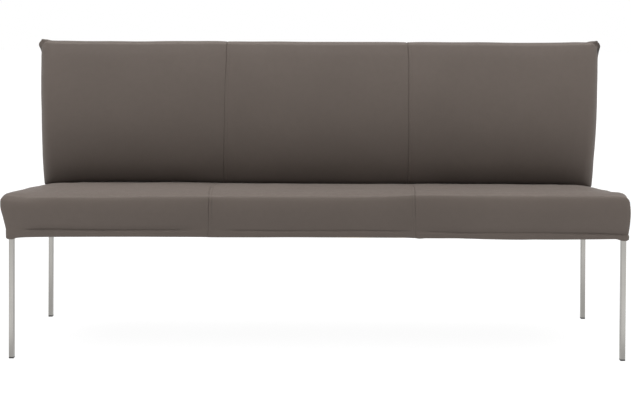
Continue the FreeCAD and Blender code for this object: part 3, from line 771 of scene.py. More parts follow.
def seat_detail(s, v):
    """Seams, the crease of the front and the gathers at the corners, sunk into the sheet, with darker seam lines and
    painted shade along the crease.
    """
    b, f, hem = s["b"], s["f"], s["hem"]
    on_top = 1.0 - s["front"]
    for k, at in enumerate(SEAT_SEAMS):
        v[:, 0] += seam_bow[k](b[:, 2]) * bell(b[:, 0] - at, 90.0) * s["front"]
        v[:, 0] += (-0.075, 0.09)[k] * (np.clip(b[:, 1], -22.0, 240.0) + 22.0) * bell(b[:, 0] - at, 150.0) * (hem == 0)
    n = vertex_normals(v, f)
    sink = np.zeros(len(v))
    seam_and_shade = np.zeros(len(v))
    for k, at in enumerate(SEAT_SEAMS):
        d = b[:, 0] - at
        seen = np.where(s["front"], (1.0, 0.72)[k] * (0.50 + 0.50 * smooth(430, 446, b[:, 2])), 0.85 - 0.20 * smooth(60, 220, b[:, 1]))
        sink += seen * (1.6 * bell(d, 1.3) + 0.5 * bell(d, 6.0)) + 0.7 * bell(d, 26.0)
        side = 9.0 if k == 0 else -9.0
        upper = s["front"] * smooth(436, 456, b[:, 2]) + on_top * 0.25
        sink += (1.0, 0.4)[k] * (0.20 + 0.55 * upper) * bell(d - side, 1.3)
        sink -= 0.4 * bell(d - 0.5 * side, 3.0)
        seam_and_shade = np.maximum(seam_and_shade, 0.50 * seen * bell(d, 1.2))
        seam_and_shade = np.maximum(seam_and_shade, (1.0, 0.4)[k] * (0.04 + 0.20 * upper) * bell(d - side, 1.2))
    # soft horizontal crease along the front, where the leather bends over the frame's edge
    x, z = b[:, 0], b[:, 2]
    line = 397.0 - 4.6 * smooth(300, 480, x) - 2.6 * smooth(860, 930, x) + 0.8 * np.sin(x / 83.0)
    strength = np.ones(len(v))
    for at, wide in ((SEAT_SEAMS[0] + 4, 48.0), (SEAT_SEAMS[1] + 2, 26.0)):
        strength *= 1 - 0.9 * bell(x - at, wide)
    strength *= smooth(-905, -862, x) * (1 - 0.75 * smooth(-425, -385, x) * (1 - smooth(-290, -262, x)))
    strength *= 0.80 + 0.20 * np.sin(x / 141.0 + 0.6)
    strength *= 1.20 - 0.45 * smooth(-160, 20, x) + 0.45 * smooth(300, 480, x)
    sides = (~s["front"]) & (hem == 0)
    strength = np.where(sides, 0.3 * strength * (x > 0) + 0.12, strength)
    crease = 3.7 * bell(z - line, 2.3) + 0.9 * bell(z - line - 3.0, 8.0) - 1.5 * bell(z - line + 6.5, 4.6)
    sink += strength * crease * (hem == 0) * (z < 440)
    # painted shade along the crease line
    seam_and_shade = np.maximum(seam_and_shade, s["front"] * strength * bell(z - line, 1.9) * (0.16 + 0.10 * smooth(300, 480, x)) * (hem == 0))
    # broad painted shade just below the crease, towards the two ends
    patchy = smooth(-890, -845, x) * (1 - smooth(-420, -340, x)) + 0.9 * smooth(320, 420, x)
    seam_and_shade = np.maximum(seam_and_shade, s["front"] * 0.15 * patchy * bell(z - line - 5.0, 9.0) * (hem == 0))
    # gathered leather over the right-hand leg, and a smaller pucker on the left
    for (x0, z0), (x1, z1), deep, wide in (((938, 390), (896, 396), 1.2, 3.0), ((936, 383), (905, 389), 1.0, 2.6),
                                           ((930, 377), (917, 386), 1.1, 2.4), ((944, 399), (925, 394), 0.9, 3.0),
                                           ((-938, 384), (-915, 378), 0.9, 2.6), ((-930, 376), (-921, 387), 0.9, 2.4)):
        ax, az = x1 - x0, z1 - z0
        t = np.clip(((x - x0) * ax + (z - z0) * az) / (ax * ax + az * az), 0, 1)
        gap = np.hypot(x - x0 - t * ax, z - z0 - t * az)
        sink += s["front"] * deep * (1 - 0.6 * t) * bell(gap, wide)
    sink *= 1 - 0.85 * smooth(0.1, 0.5, hem)
    # the leather never sinks as far as the wooden rail behind it
    room = np.where(s["front"] & (z < 430), np.maximum(-v[:, 1] - 2.1, 0.4), 99.0)
    sink = np.where(sink > 0.75 * room, room * (0.75 + 0.25 * np.tanh((sink / room - 0.75) / 0.25)), sink)
    v = v - n * sink[:, None]
    return v, seam_and_shade * (1 - hem)


coarse = seat_sheet(False)
coarse_v = seat_shape(coarse)
near_seam = np.maximum(bell(coarse["b"][:, 0] - SEAT_SEAMS[0], 6.0), bell(coarse["b"][:, 0] - SEAT_SEAMS[1], 6.0))
hold = np.where((coarse["hem"] > 0) | (coarse["b"][:, 2] < 381) | (near_seam > 0.5), 1.0, 0.25)
hold = np.where((coarse["b"][:, 1] > 430) & (coarse["b"][:, 2] > 470), 1.0, hold)
ends = smooth(820, 930, np.abs(coarse["b"][:, 0])) * np.where(coarse["b"][:, 0] > 0, 1.8, 2.3)
seat_move = settle("seat_cloth", coarse_v, coarse["f"], hold, 4.0, 25.0, 2.0 - ends, 4.0)
seat = seat_sheet(True)
seat_v = seat_shape(seat)
seat_v = seat_v + carry(coarse_v, coarse["f"], seat_move, seat_v)
seat_n = vertex_normals(seat_v, seat["f"])
seat_v = seat_v + seat_n * (0.45 * seat_swell(seat_v) * (seat["hem"] == 0))[:, None]
seat_v, seat_seam_and_shade = seat_detail(seat, seat_v)
seat_n = vertex_normals(seat_v, seat["f"])
mid_x = seat["b"][seat["f"], 0].mean(1)
for name, keep in (("left", mid_x < SEAT_SEAMS[0]), ("centre", (mid_x > SEAT_SEAMS[0]) & (mid_x < SEAT_SEAMS[1])),
                   ("right", mid_x > SEAT_SEAMS[1])):
    ob = leather_piece("seat_leather_" + name, seat_v, seat["f"], seat_n, keep, seat_seam_and_shade, leather, ["seat_cover_" + name])


# ------------------------------------------------------------------ the back's covers
BACK_SEAMS = (-318.0, 304.0)
BACK_X = 4.5
BACK_HALF0 = 950.0
BACK_TOP = 956.0
RAKE = math.tan(math.radians(5.7))

back_front = spline([(470, 440), (484, 431.5), (500, 423.5), (520, 416.0), (545, 409.3), (570, 405.2), (600, 402.7), (630, 402.0),
                     (660, 403.0), (700, 407.0), (740, 413.2), (780, 421.3), (820, 431.2), (860, 443.0), (900, 456.2),
                     (930, 467.0), (957, 477.5), (970, 483.0)])
back_half = hermite([(465, 932.5), (484, 933.2), (520, 935.4), (548, 936.8), (616, 939.7), (670, 941.6), (719, 943.2), (760, 945.1),
                     (787, 946.0), (838, 947.1), (865, 947.2), (890, 947.3), (908, 947.8), (924, 948.3), (970, 948.3)])
back_lean = hermite([(465, -2.4), (500, -2.2), (535, -2.4), (560, -2.5), (600, -1.5), (640, -0.7), (720, 0.3), (790, 0.1), (845, 0.5),
                     (887, 0.75), (908, 0.4), (925, 0.0), (970, 0.0)])
top_wave = hermite([(-970, 0.0), (-930, -0.8), (-890, -2.4), (-807, -3.3), (-636, -3.1), (-396, -0.5), (-310, -1.4), (-156, -1.7),
                    (2, -2.6), (153, -2.0), (290, -0.8), (331, -0.9), (461, -1.0), (564, -1.3), (701, -2.6), (838, -0.7),
                    (889, 0.4), (970, 0.4)])
back_seam_drift = [spline([(470, -7.0), (560, -4.5), (700, -2.5), (760, -2.2), (850, 1.0), (960, 3.2)]),
                   spline([(470, 3.6), (560, 3.0), (700, -1.9), (900, -2.7), (960, -3.5)])]
back_swell = waves(23, 8, 120.0, 480.0)


def seam_plane(z):
    return 475.0 + (z - 450.0) * RAKE - 22.0


def back_lists(front, fine):
    """Columns (inset from the side, share of the depth) and rows (height, share of the depth)."""
    near = [0.0, 0.010, 0.025, 0.045, 0.07, 0.10, 0.14, 0.19, 0.25] if fine else [0.0, 0.10, 0.25]
    k = 9 if fine else 4
    if front:
        flat_h, round_h, flat_t, round_t, flat_b, round_b = 0.12, 42.0, 0.25, 6.5, 0.50, 10.0
    else:
        near = [0.0, 0.04, 0.09, 0.16, 0.25] if fine else [0.0, 0.2]
        flat_h, round_h, flat_t, round_t, flat_b, round_b = 0.60, 20.0, 0.62, 17.0, 0.70, 10.0
    flats = lambda top: [d for d in near if d < top - 0.02] + list(np.arange(0.34, top - 0.03, 0.08 if fine else 0.16)) + [top]
    turn = [math.radians(90.0 * i / k) for i in range(1, k + 1)]
    # columns, from the left seam to the middle, then mirrored
    wrap = [(0.0, d) for d in flats(flat_h)]
    wrap += [(round_h * (1 - math.cos(a)), flat_h + (1 - flat_h) * math.sin(a)) for a in turn]
    marks = [-BACK_HALF0 + round_h, BACK_HALF0 - round_h]
    for s in BACK_SEAMS:
        marks += about(s, fine)
    inner = spaced(marks, 9.0 if fine else 17.0)
    xs = [-BACK_HALF0 + i for i, _ in wrap[:-1]] + list(inner) + [BACK_HALF0 - i for i, _ in wrap[-2::-1]]
    dh = [d for _, d in wrap[:-1]] + [1.0] * len(inner) + [d for _, d in wrap[-2::-1]]
    # rows, from the seam underneath, up the face and over the top to the seam
    low = [(BACK_LOW, d) for d in ([0.0, 0.1, 0.3, 0.55] if fine else [0.0, 0.4]) if d < flat_b - 0.05] + [(BACK_LOW, flat_b)]
    half = max(3, k // 2)
    low += [(BACK_LOW + round_b * (1 - math.cos(math.radians(90.0 * i / half))),
             flat_b + (1 - flat_b) * math.sin(math.radians(90.0 * i / half))) for i in range(1, half + 1)]
    high = [(BACK_TOP, d) for d in flats(flat_t)]
    high += [(BACK_TOP - round_t * (1 - math.cos(a)), flat_t + (1 - flat_t) * math.sin(a)) for a in turn]
    face = spaced([low[-1][0], high[-1][0]] + ([high[-1][0] - 4.0 * i for i in range(1, 11)] if fine else []), 8.0 if fine else 17.0)
    zs = [z for z, _ in low[:-1]] + list(face) + [z for z, _ in high[-2::-1]]
    dv = [d for _, d in low[:-1]] + [1.0] * len(face) + [d for _, d in high[-2::-1]]
    return np.array(xs), np.array(dh), np.array(zs), np.array(dv)


ear_out = hermite([(-6, 0.0), (0, 0.3), (2.6, 2.1), (4.5, 4.0), (6.4, 7.0), (8.8, 8.9), (11.7, 10.0), (15, 9.8), (18.3, 8.5), (22, 6.7),
                   (25.5, 4.3), (29, 2.6), (32.5, 1.5), (36, 0.2), (45, -0.7), (53, -0.5), (66, 0.0)])
ear_out_right = hermite([(-8, 1.8), (-3, 2.2), (0, 2.4), (3.2, 4.3), (4.8, 7.1), (6.6, 9.7), (8.6, 11.0), (11.6, 11.4), (15, 11.2), (18.4, 9.8),
                         (22, 8.5), (25.3, 7.2), (28.7, 6.5), (32, 5.5), (35.5, 5.1), (39, 4.7), (42, 4.0), (46, 3.1), (49, 2.4), (53, 1.4),
                         (62, 0.4), (75, 0.0)])
ear_up = hermite([(-10, 5.6), (0, 6.6), (5, 6.2), (10, 5.6), (21, 5.0), (32, 1.9), (44, 0.2), (56, 0.0)])
ear_up_right = hermite([(-10, 9.4), (0, 9.5), (4.3, 8.2), (7.8, 7.2), (11.2, 6.8), (14.6, 6.65), (18, 6.5), (21.4, 6.3), (25, 5.7), (28, 4.6),
                        (32, 2.9), (44, 0.3), (56, 0.0)])


def back_sheet(front, fine):
    xs, dh, zs, dv = back_lists(front, fine)
    nx, nz = len(xs), len(zs)
    bx, bz = np.repeat(xs, nz), np.tile(zs, nx)
    ch, cv = np.repeat(dh, nz), np.tile(dv, nx)
    share = ch * cv
    index = np.arange(nx * nz).reshape(nx, nz)
    a, b, c, d = index[:-1, :-1], index[1:, :-1], index[1:, 1:], index[:-1, 1:]
    f = np.column_stack([q.ravel() for q in ((a, b, c, d) if front else (b, a, d, c))])

    z = bz.copy()
    plane = seam_plane(z)
    deep = (plane - back_front(z)) if front else np.full(len(z), 54.0)
    away = share * deep                     # millimetres from the seam's plane
    half = back_half(z)
    x = bx * half / BACK_HALF0
    # edge seam drawn in, with a full roll on each side of it
    at_side = np.minimum(half - np.abs(x), 60.0)
    pull = 2.2 * bell(away, 2.2) - (0.9 * bell(away - 10.0, 7.0) if front else 2.2 * bell(away - 16.0, 12.0))
    side = 1 - smooth(0.0, 1.0, at_side / 12.0)
    x = x - np.sign(x) * pull * side
    top = smooth(BACK_TOP - 6.0, BACK_TOP - 0.2, z)
    z = z - (pull + 0.4) * top + 1.6 * top * np.sin(np.pi * np.clip(share, 0, 1)) * (1 if front else 0.5)
    under = 1 - smooth(BACK_LOW + 0.2, BACK_LOW + 5.0, bz)
    z = z + under * ((-3.0 if front else 3.0) * share)
    # corners: sharp at the seam, rounder towards the faces
    for sx in (-1, 1):
        for zc, sign, soft in ((BACK_TOP, 1, 21.0), (BACK_LOW, -1, 1.5)):
            r = (3.0 if sign > 0 else 1.5) + soft * smooth(0.0, 0.45, share)
            ix = r - (half - sx * x)
            iz = r - sign * (zc - z)
            here = (ix > 0) & (iz > 0)
            size = np.hypot(ix, iz)
            scale = np.where(here, np.maximum(ix, iz) / np.maximum(size, 1e-9), 1.0)
            x = np.where(here, sx * (half - r + ix * scale), x)
            z = np.where(here, sign * (sign * zc - r + iz * scale), z)
    # at the two ends the underside follows the seat down
    z = z + (back_underside(x) - BACK_LOW) * (1 - smooth(BACK_LOW, BACK_LOW + 60.0, bz))
    # pointed corners of the top, where the edge seam turns
    down, inset = BACK_TOP - z, half - np.abs(x)
    pinch = bell(away, 12.0)
    out = np.where(x > 0, ear_out_right(down), ear_out(down)) * pinch * bell(np.maximum(inset, 0), 15.0)
    up = np.where(x > 0, ear_up_right(inset), ear_up(inset)) * pinch * bell(np.maximum(down, 0), 5.5)
    tuck = 4.6 * bell(away - 13.0, 4.0) * (1 - smooth(26, 52, np.hypot(down, 0.7 * np.maximum(inset, 0))))
    x = x + np.sign(x) * (out - tuck * bell(np.maximum(inset, 0), 14.0))
    z = z + up - tuck * bell(np.maximum(down, 0), 8.0) + top_wave(x) * smooth(BACK_TOP - 70.0, BACK_TOP, bz)
    # the folds at the top corners, where shade is painted on below
    fold_shade = (1 - smooth(5.0, 30.0, away)) * (1 - smooth(26, 52, down)) * (1 - smooth(5, 26, np.maximum(inset, 0)))
    y = plane - away if front else plane + away
    if front:
        y = y + 2.0 * np.clip((bz - 903.0) / 54.0, 0, 1) ** 2 * smooth(0.2, 0.9, share)
    return {"x": bx, "z": bz, "share": share, "away": away, "f": f, "v": np.column_stack([x + BACK_X + back_lean(bz), y, z]), "top": top, "fold_shade": fold_shade, "down": down}


def back_detail(s, v, front):
    bx, bz = s["x"], s["z"]
    for k, at in enumerate(BACK_SEAMS):
        v[:, 0] += back_seam_drift[k](bz) * bell(bx - at, 110.0)
    n = vertex_normals(v, s["f"])
    sink = np.zeros(len(v))
    seam_and_shade = np.zeros(len(v))
    for k, at in enumerate(BACK_SEAMS):
        d = bx - at
        fade = 1.0 - 0.55 * bell(bz - 795.0, 26.0) * (k == 0)
        sink += fade * 1.4 * bell(d, 1.4) + 0.7 * bell(d, 6.0) + 0.8 * bell(d, 24.0)
        sink += 0.30 * bell(d - 9.0, 1.3) - 0.45 * bell(d - 4.5, 3.0)
        seam_and_shade = np.maximum(seam_and_shade, fade * 0.42 * bell(d, 1.25))
        seam_and_shade = np.maximum(seam_and_shade, 0.06 * bell(d - 9.0, 1.2))
    # a little notch where the right-hand seam goes over the top
    if front:
        sink += 1.8 * bell(bx - (BACK_SEAMS[1] - 14.0), 11.0) * s["top"]
    v = v - n * sink[:, None]
    seam_and_shade = np.maximum(seam_and_shade, 0.6 * bell(s["away"], 1.2))
    if front:
        # painted shade in the folds of the top corners, stronger on the right-hand one
        paler = 1.0 - 0.7 * bell(s["away"] - 13.5, 4.0) * smooth(3, 7, s["down"])
        seam_and_shade = np.maximum(seam_and_shade, s["fold_shade"] * np.where(bx > 0, 0.80 * paler, 0.40))
        # the right-hand corner point folds over, with painted shade along its edge
        wide = 8.5 + 3.0 * smooth(12, 28, s["down"])
        rim = (1 - smooth(0.0, 4.5, s["away"] - wide)) * smooth(3, 8, s["down"]) * (1 - smooth(33, 45, s["down"]))
        seam_and_shade = np.maximum(seam_and_shade, rim * np.where(bx > 900, 1.35 + 0.65 * smooth(12, 20, s["down"]), 0.0))
        # painted shade on the lower outer parts of the back's face, just above the seat
        seam_and_shade = np.maximum(seam_and_shade, 0.26 * smooth(330, 460, np.abs(bx)) * (1 - smooth(484, 560, bz)))
    return v, seam_and_shade


back_cover = {}
for face, front in (("front", True), ("rear", False)):
    coarse = back_sheet(front, False)
    near_seam = np.maximum(bell(coarse["x"] - BACK_SEAMS[0], 6.0), bell(coarse["x"] - BACK_SEAMS[1], 6.0))
    hold = np.where((coarse["away"] < 3.0) | (near_seam > 0.5), 1.0, 0.25)
    drawn = 2.0 - 1.7 * np.maximum(smooth(895, 945, coarse["z"]), smooth(870, 935, np.abs(coarse["x"])))
    move = settle("back_cloth_" + face, coarse["v"], coarse["f"], hold, 4.0, 25.0, drawn, 3.5)
    fine = back_sheet(front, True)
    v = fine["v"] + carry(coarse["v"], coarse["f"], move, fine["v"])
    n = vertex_normals(v, fine["f"])
    v = v + n * (0.45 * back_swell(v) * smooth(2.0, 20.0, fine["away"]))[:, None]
    v, seam_and_shade = back_detail(fine, v, front)
    n = vertex_normals(v, fine["f"])
    mid_x = fine["x"][fine["f"]].mean(1)
    for name, keep in (("left", mid_x < BACK_SEAMS[0]), ("centre", (mid_x > BACK_SEAMS[0]) & (mid_x < BACK_SEAMS[1])),
                       ("right", mid_x > BACK_SEAMS[1])):
        ob = leather_piece("back_leather_" + face + "_" + name, v, fine["f"], n, keep, seam_and_shade, leather,
                           ["back_cover_" + face + "_" + name])
    back_cover[face] = (coarse, fine, v, n)


# ------------------------------------------------------------------ filling under the covers
seat_core = seat_sheet(False)
core_v = seat_shape(seat_core)
core_n = vertex_normals(core_v, seat_core["f"])
above = (seat_core["hem"] == 0) & (seat_core["b"][:, 2] > 419)
keep = above[seat_core["f"]].all(1)
b = seat_core["b"]
box_in = np.column_stack([np.clip(b[:, 0] * 924.5 / SEAT_HI[0], -924.5, 924.5), np.clip((b[:, 1] + 22.0) * 501.0 / 532.0 - 0.5, -0.5, 500.5),
                          np.clip(core_v[:, 2], 385.0, 445.2)])
outer = core_v - core_n * 10.0
outer[:, 2] = np.maximum(outer[:, 2], 385.0)
pv, pf, pi = part_of(outer, seat_core["f"], keep, box_in)
sv, sf = closed_between(pv, pi, pf)
ob = new_object("seat_foam", sv, sf, foam)
tidy(ob)
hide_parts("seat_foam_core", "front_edge_foam", "rear_edge_foam", "left_edge_foam", "right_edge_foam")
upper = above & (b[:, 2] > 440)
keep = upper[seat_core["f"]].all(1)
pv, pf, pn = part_of(core_v, seat_core["f"], keep, core_n)
sv, sf = closed_between(pv - pn * 7.0, pv - pn * 9.2, pf)
ob = new_object("seat_fleece", sv, sf, fleece)
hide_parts("seat_wadding")


def raked_clamp(v):
    """The nearest point on the back frame's own block."""
    c, s = math.cos(math.atan(RAKE)), math.sin(math.atan(RAKE))
    up = (v[:, 1] - 475.0) * s + (v[:, 2] - 450.0) * c
    out = (v[:, 1] - 475.0) * c - (v[:, 2] - 450.0) * s
    up, out = np.clip(up, 40.0, 481.5), np.clip(out, -13.3, 24.3)
    x = np.clip(v[:, 0], -902.5, 902.5)
    return np.column_stack([x, 475.0 + up * s + out * c, 450.0 + up * c - out * s])


for name, face, stands in (("back_foam_face", "front", ["back_foam_front", "back_edge_foam"]), ("back_foam_reverse", "rear", ["back_foam_rear"])):
    s = back_cover[face][0]
    n = vertex_normals(s["v"], s["f"])
    pv = s["v"] - n * 10.0
    pv[:, 2] = np.clip(pv[:, 2], BACK_LOW + 8.0, BACK_TOP - 10.0)
    sv, sf = closed_between(pv, raked_clamp(pv), s["f"])
    ob = new_object(name, sv, sf, foam)
    tidy(ob)
    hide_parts(*stands)
s = back_cover["front"][0]
n = vertex_normals(s["v"], s["f"])
keep = (s["share"] > 0.5)[s["f"]].all(1)
pv, pf, pn = part_of(s["v"], s["f"], keep, n)
sv, sf = closed_between(pv - pn * 7.0, pv - pn * 9.2, pf)
ob = new_object("back_fleece", sv, sf, fleece)
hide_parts("back_wadding")


# ------------------------------------------------------------------ dust cloth under the seat
def dust_cloth():
    """Thin black cloth stapled under the frame, hanging a little between the rails."""
    xs = spaced([-914, -903, -880, 880, 903, 914], 24.0)
    ys = spaced([11, 20, 40, 460, 470, 489], 20.0)
    gx, gy = np.repeat(xs, len(ys)), np.tile(ys, len(xs))
    inside = smooth(11, 110, gy) * smooth(-489, -390, -gy) * smooth(-914, -760, gx) * smooth(-914, -760, -gx)
    gz = 373.95 - 4.5 * inside * (1 + 0.12 * np.sin(gx / 71.0) * np.sin(gy / 53.0))
    for x in (-350.0, 350.0):
        gz += 3.6 * inside * bell(gx - x, 60.0)
    index = np.arange(len(gx)).reshape(len(xs), len(ys))
    a, b_, c, d = index[:-1, :-1], index[1:, :-1], index[1:, 1:], index[:-1, 1:]
    f = np.column_stack([q.ravel() for q in (d, c, b_, a)])
    mid_x, mid_y = gx[f].mean(1), gy[f].mean(1)
    f = f[~((np.abs(mid_x) > 903) & ((mid_y < 20) | (mid_y > 470)))]
    low = np.column_stack([gx, gy, gz])
    low, f = part_of(low, f, np.ones(len(f), bool))
    high = low + np.array([0.0, 0.0, 0.7])
    v, faces = closed_between(low, high, f)
    ob = new_object("dust_cloth_sheet", v, faces, dust)
    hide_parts("dust_cover")


dust_cloth()


# ------------------------------------------------------------------ openings where the steel goes through
def let_through(covers, names, room=0.0003):
    """Cuts an opening, a little wider than the steel, where a straight steel piece goes through a cover."""
    bm = bmesh.new()
    for name in names:
        src = nodes[name]
        spots = [src.matrix_world @ p.co for p in src.data.vertices]
        block = [bm.verts.new((p.x + a * room, p.y + b * room, p.z)) for p in spots for a in (-1, 1) for b in (-1, 1)]
        bmesh.ops.convex_hull(bm, input=block)
        bmesh.ops.delete(bm, geom=[w for w in block if w.is_valid and not w.link_faces], context="VERTS")
    bmesh.ops.recalc_face_normals(bm, faces=bm.faces)
    me = bpy.data.meshes.new("steel_room")
    bm.to_mesh(me)
    bm.free()
    cutter = bpy.data.objects.new("steel_room", me)
    scene.collection.objects.link(cutter)
    for name in covers:
        ob = bpy.data.objects[name]
        m = ob.modifiers.new("through", "BOOLEAN")
        m.operation, m.solver, m.object = "DIFFERENCE", "EXACT", cutter
        bpy.context.view_layer.update()
        dg = bpy.context.evaluated_depsgraph_get()
        cut = bpy.data.meshes.new_from_object(ob.evaluated_get(dg), preserve_all_data_layers=True, depsgraph=dg)
        ob.modifiers.remove(m)
        if len(cut.polygons) < 0.9 * len(ob.data.polygons):
            print("no opening was cut in", name)
            bpy.data.meshes.remove(cut)
            continue
        old, ob.data = ob.data, cut
        bpy.data.meshes.remove(old)
        cut.name = name
    bpy.data.objects.remove(cutter)
    bpy.data.meshes.remove(me)


UPRIGHTS = ["back_upright_far_left", "back_upright_inner_left", "back_upright_inner_right", "back_upright_far_right"]
LEGS = ["leg_front_left", "leg_front_right", "leg_rear_left", "leg_rear_right"]
let_through(["seat_leather_left", "seat_leather_centre", "seat_leather_right"], LEGS + UPRIGHTS)


# ------------------------------------------------------------------ stitching beside the seams
def stitch_row(name, v, n, order, pitch=6.4, length=4.5, radius=0.42):
    """Short thread capsules that follow a row of points on the leather."""
    p, q = v[order], n[order]
    far = np.concatenate([[0], np.cumsum(np.linalg.norm(np.diff(p, axis=0), axis=1))])
    at = np.arange(4.0, far[-1] - 4.0, pitch)
    sides, rings = 6, ((-0.5, 0.35, -0.45), (-0.36, 0.9, 0.02), (0.0, 1.0, 0.20), (0.36, 0.9, 0.02), (0.5, 0.35, -0.45))
    verts, faces = [], []
    for a in at:
        centre = [np.interp(a, far, p[:, k]) for k in range(3)]
        ahead = np.array([np.interp(a + 2.0, far, p[:, k]) - np.interp(a - 2.0, far, p[:, k]) for k in range(3)])
        ahead /= np.linalg.norm(ahead)
        up = np.array([np.interp(a, far, q[:, k]) for k in range(3)])
        up -= ahead * (up @ ahead)
        up /= np.linalg.norm(up)
        across = np.cross(ahead, up)
        base = len(verts)
        for along, fat, lift in rings:
            c = np.array(centre) + ahead * (along * length) + up * lift
            for k in range(sides):
                w = 2 * math.pi * k / sides
                verts.append(c + (across * math.cos(w) + up * math.sin(w)) * (radius * fat))
        for r in range(len(rings) - 1):
            for k in range(sides):
                k2 = (k + 1) % sides
                faces.append((base + r * sides + k, base + r * sides + k2, base + (r + 1) * sides + k2, base + (r + 1) * sides + k))
        faces.append(tuple(base + k for k in range(sides))[::-1])
        faces.append(tuple(base + (len(rings) - 1) * sides + k for k in range(sides)))
    return new_object(name, np.array(verts), faces, thread)


def column(values, at):
    return np.abs(values - values[np.argmin(np.abs(values - at))]) < 1e-6


for k, side in ((0, 9.0), (1, -9.0)):
    b, hem = seat["b"], seat["hem"]
    row = column(b[:, 0], SEAT_SEAMS[k] + side) & (hem == 0)
    i = np.nonzero(row)[0]
    front = [j for j in i if abs(b[j, 1] - SEAT_LO[1]) < 1e-6]
    front.sort(key=lambda j: b[j, 2])
    top = [j for j in i if abs(b[j, 2] - SEAT_HI[2]) < 1e-6 and SEAT_LO[1] + 1e-6 < b[j, 1] < 430]
    top.sort(key=lambda j: b[j, 1])
    stitch_row("seat_stitching_" + ("left", "right")[k], seat_v, seat_n, np.array(front[4:] + top))
for face in ("front", "rear"):
    _, fine, v, n = back_cover[face]
    for k in (0, 1):
        row = column(fine["x"], BACK_SEAMS[k] + 9.0) & (fine["z"] > BACK_LOW + 4) & (fine["share"] > 0.12)
        i = np.nonzero(row)[0]
        stitch_row("back_stitching_" + face + "_" + ("left", "right")[k], v, n, i)


# ------------------------------------------------------------------ floor, light and camera
def floor_material():
    m, t, p = tree("floor_pale")
    grain = noise(t, mapped(t), 9.0, 4.0)
    t.links.new(ramp(t, grain, [(0.3, (0.090, 0.090, 0.090)), (0.7, (0.096, 0.096, 0.096))]), p.inputs["Base Color"])
    t.links.new(span(t, grain, 0.80, 0.90), p.inputs["Roughness"])
    p.inputs["Specular IOR Level"].default_value = 0.1
    p.inputs["Emission Color"].default_value = (1.0, 1.0, 1.0, 1.0)
    # a little brighter to the camera than to the bench, so that the shadow stays faint
    seen = add(t, "ShaderNodeLightPath")
    lift = math_node(t, "MULTIPLY", seen.outputs["Is Camera Ray"], FLOOR_LIFT)
    t.links.new(math_node(t, "ADD", lift, FLOOR_GLOW), p.inputs["Emission Strength"])
    return m


FLOOR_GLOW = 0.90
FLOOR_LIFT = 0.03
KEY_LIGHT = 5.25
SIDE_LIGHT = 0.6
CARD_LIGHT = 3.8
me = bpy.data.meshes.new("floor")
me.from_pydata([(-60, -60, -0.0003), (60, -60, -0.0003), (60, 60, -0.0003), (-60, 60, -0.0003)], [], [(0, 1, 2, 3)])
me.materials.append(floor_material())
floor = bpy.data.objects.new("floor", me)
scene.collection.objects.link(floor)

# A soft studio: white low down all round, dim at half height, a large soft light overhead.
world = bpy.data.worlds.new("studio")
scene.world = world
world.use_nodes = True
wt = world.node_tree
background = wt.nodes["Background"]
where = wt.nodes.new("ShaderNodeTexCoord")
split = wt.nodes.new("ShaderNodeSeparateXYZ")
wt.links.new(where.outputs["Generated"], split.inputs[0])
sky = wt.nodes.new("ShaderNodeValToRGB")
sky.color_ramp.interpolation = "EASE"
stops = [(0.0, 1.0), (0.215, 1.0), (0.42, 0.22), (1.0, 0.22)]
while len(sky.color_ramp.elements) < len(stops):
    sky.color_ramp.elements.new(0.5)
for e, (at, level) in zip(sky.color_ramp.elements, stops):
    e.position = at
    e.color = (level, level, level, 1.0)
wt.links.new(split.outputs["Z"], sky.inputs["Fac"])
aim = wt.nodes.new("ShaderNodeVectorMath")
aim.operation = "DOT_PRODUCT"
aim.inputs[1].default_value = (0.0, -0.09, 0.996)
wt.links.new(where.outputs["Generated"], aim.inputs[0])
key = wt.nodes.new("ShaderNodeMapRange")
key.interpolation_type = "SMOOTHSTEP"
for name, value in (("From Min", 0.70), ("From Max", 0.96), ("To Min", 0.0), ("To Max", KEY_LIGHT)):
    key.inputs[name].default_value = value
wt.links.new(aim.outputs["Value"], key.inputs["Value"])
total = wt.nodes.new("ShaderNodeMath")
total.operation = "ADD"
wt.links.new(sky.outputs["Color"], total.inputs[0])
wt.links.new(key.outputs["Result"], total.inputs[1])
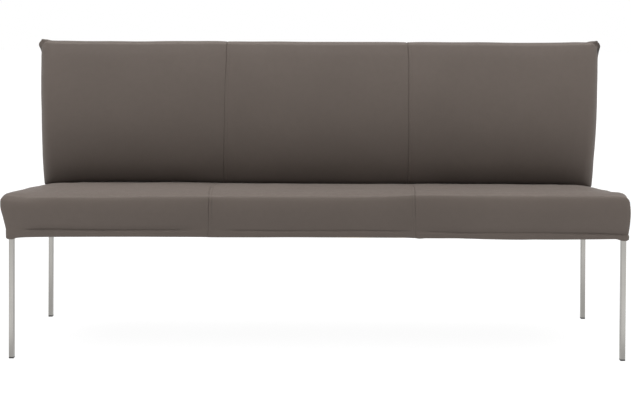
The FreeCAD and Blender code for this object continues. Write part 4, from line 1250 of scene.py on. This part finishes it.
# and a little more from the two sides
beside = wt.nodes.new("ShaderNodeMath")
beside.operation = "ABSOLUTE"
wt.links.new(split.outputs["X"], beside.inputs[0])
flank = wt.nodes.new("ShaderNodeMapRange")
flank.interpolation_type = "SMOOTHSTEP"
for name, value in (("From Min", 0.60), ("From Max", 0.95), ("To Min", 0.0), ("To Max", SIDE_LIGHT)):
    flank.inputs[name].default_value = value
wt.links.new(beside.outputs[0], flank.inputs["Value"])
everything = wt.nodes.new("ShaderNodeMath")
everything.operation = "ADD"
wt.links.new(total.outputs[0], everything.inputs[0])
wt.links.new(flank.outputs["Result"], everything.inputs[1])
wt.links.new(everything.outputs[0], background.inputs["Strength"])
background.inputs["Color"].default_value = (1.0, 1.0, 1.0, 1.0)

# pale cards lie on the floor in front of the two ends, and light the legs from below
for name, x in (("card_left", -1.45), ("card_right", 1.45)):
    card = bpy.data.lights.new(name, "AREA")
    card.shape = "RECTANGLE"
    card.size, card.size_y = 0.95, 1.85
    card.energy = CARD_LIGHT
    lamp = bpy.data.objects.new(name, card)
    lamp.location = (x, -1.28, 0.012)
    lamp.rotation_euler = (math.pi, 0.0, 0.0)
    scene.collection.objects.link(lamp)

camera = bpy.data.cameras.new("camera")
camera.sensor_width = 36.0
camera.lens = 1050.0 / 631.0 * 36.0
camera.shift_y = -60.0 / 631.0
camera.clip_end = 300.0
camera.dof.use_dof = False
yaw, pitch, roll = (math.radians(a) for a in (0.0656, 5.6662, 0.2640))
forward = Vector((math.sin(yaw) * math.cos(pitch), math.cos(yaw) * math.cos(pitch), -math.sin(pitch)))
right = forward.cross(Vector((0, 0, 1))).normalized()
up = right.cross(forward)
r2 = right * math.cos(roll) + up * math.sin(roll)
u2 = up * math.cos(roll) - right * math.sin(roll)
eye = bpy.data.objects.new("camera", camera)
eye.matrix_world = Matrix(((r2.x, u2.x, -forward.x, -0.01147), (r2.y, u2.y, -forward.y, -3.09963 - 0.26813),
                           (r2.z, u2.z, -forward.z, 0.97668), (0, 0, 0, 1)))
scene.collection.objects.link(eye)
scene.camera = eye
scene.view_settings.view_transform = "Standard"
scene.view_settings.look = "None"
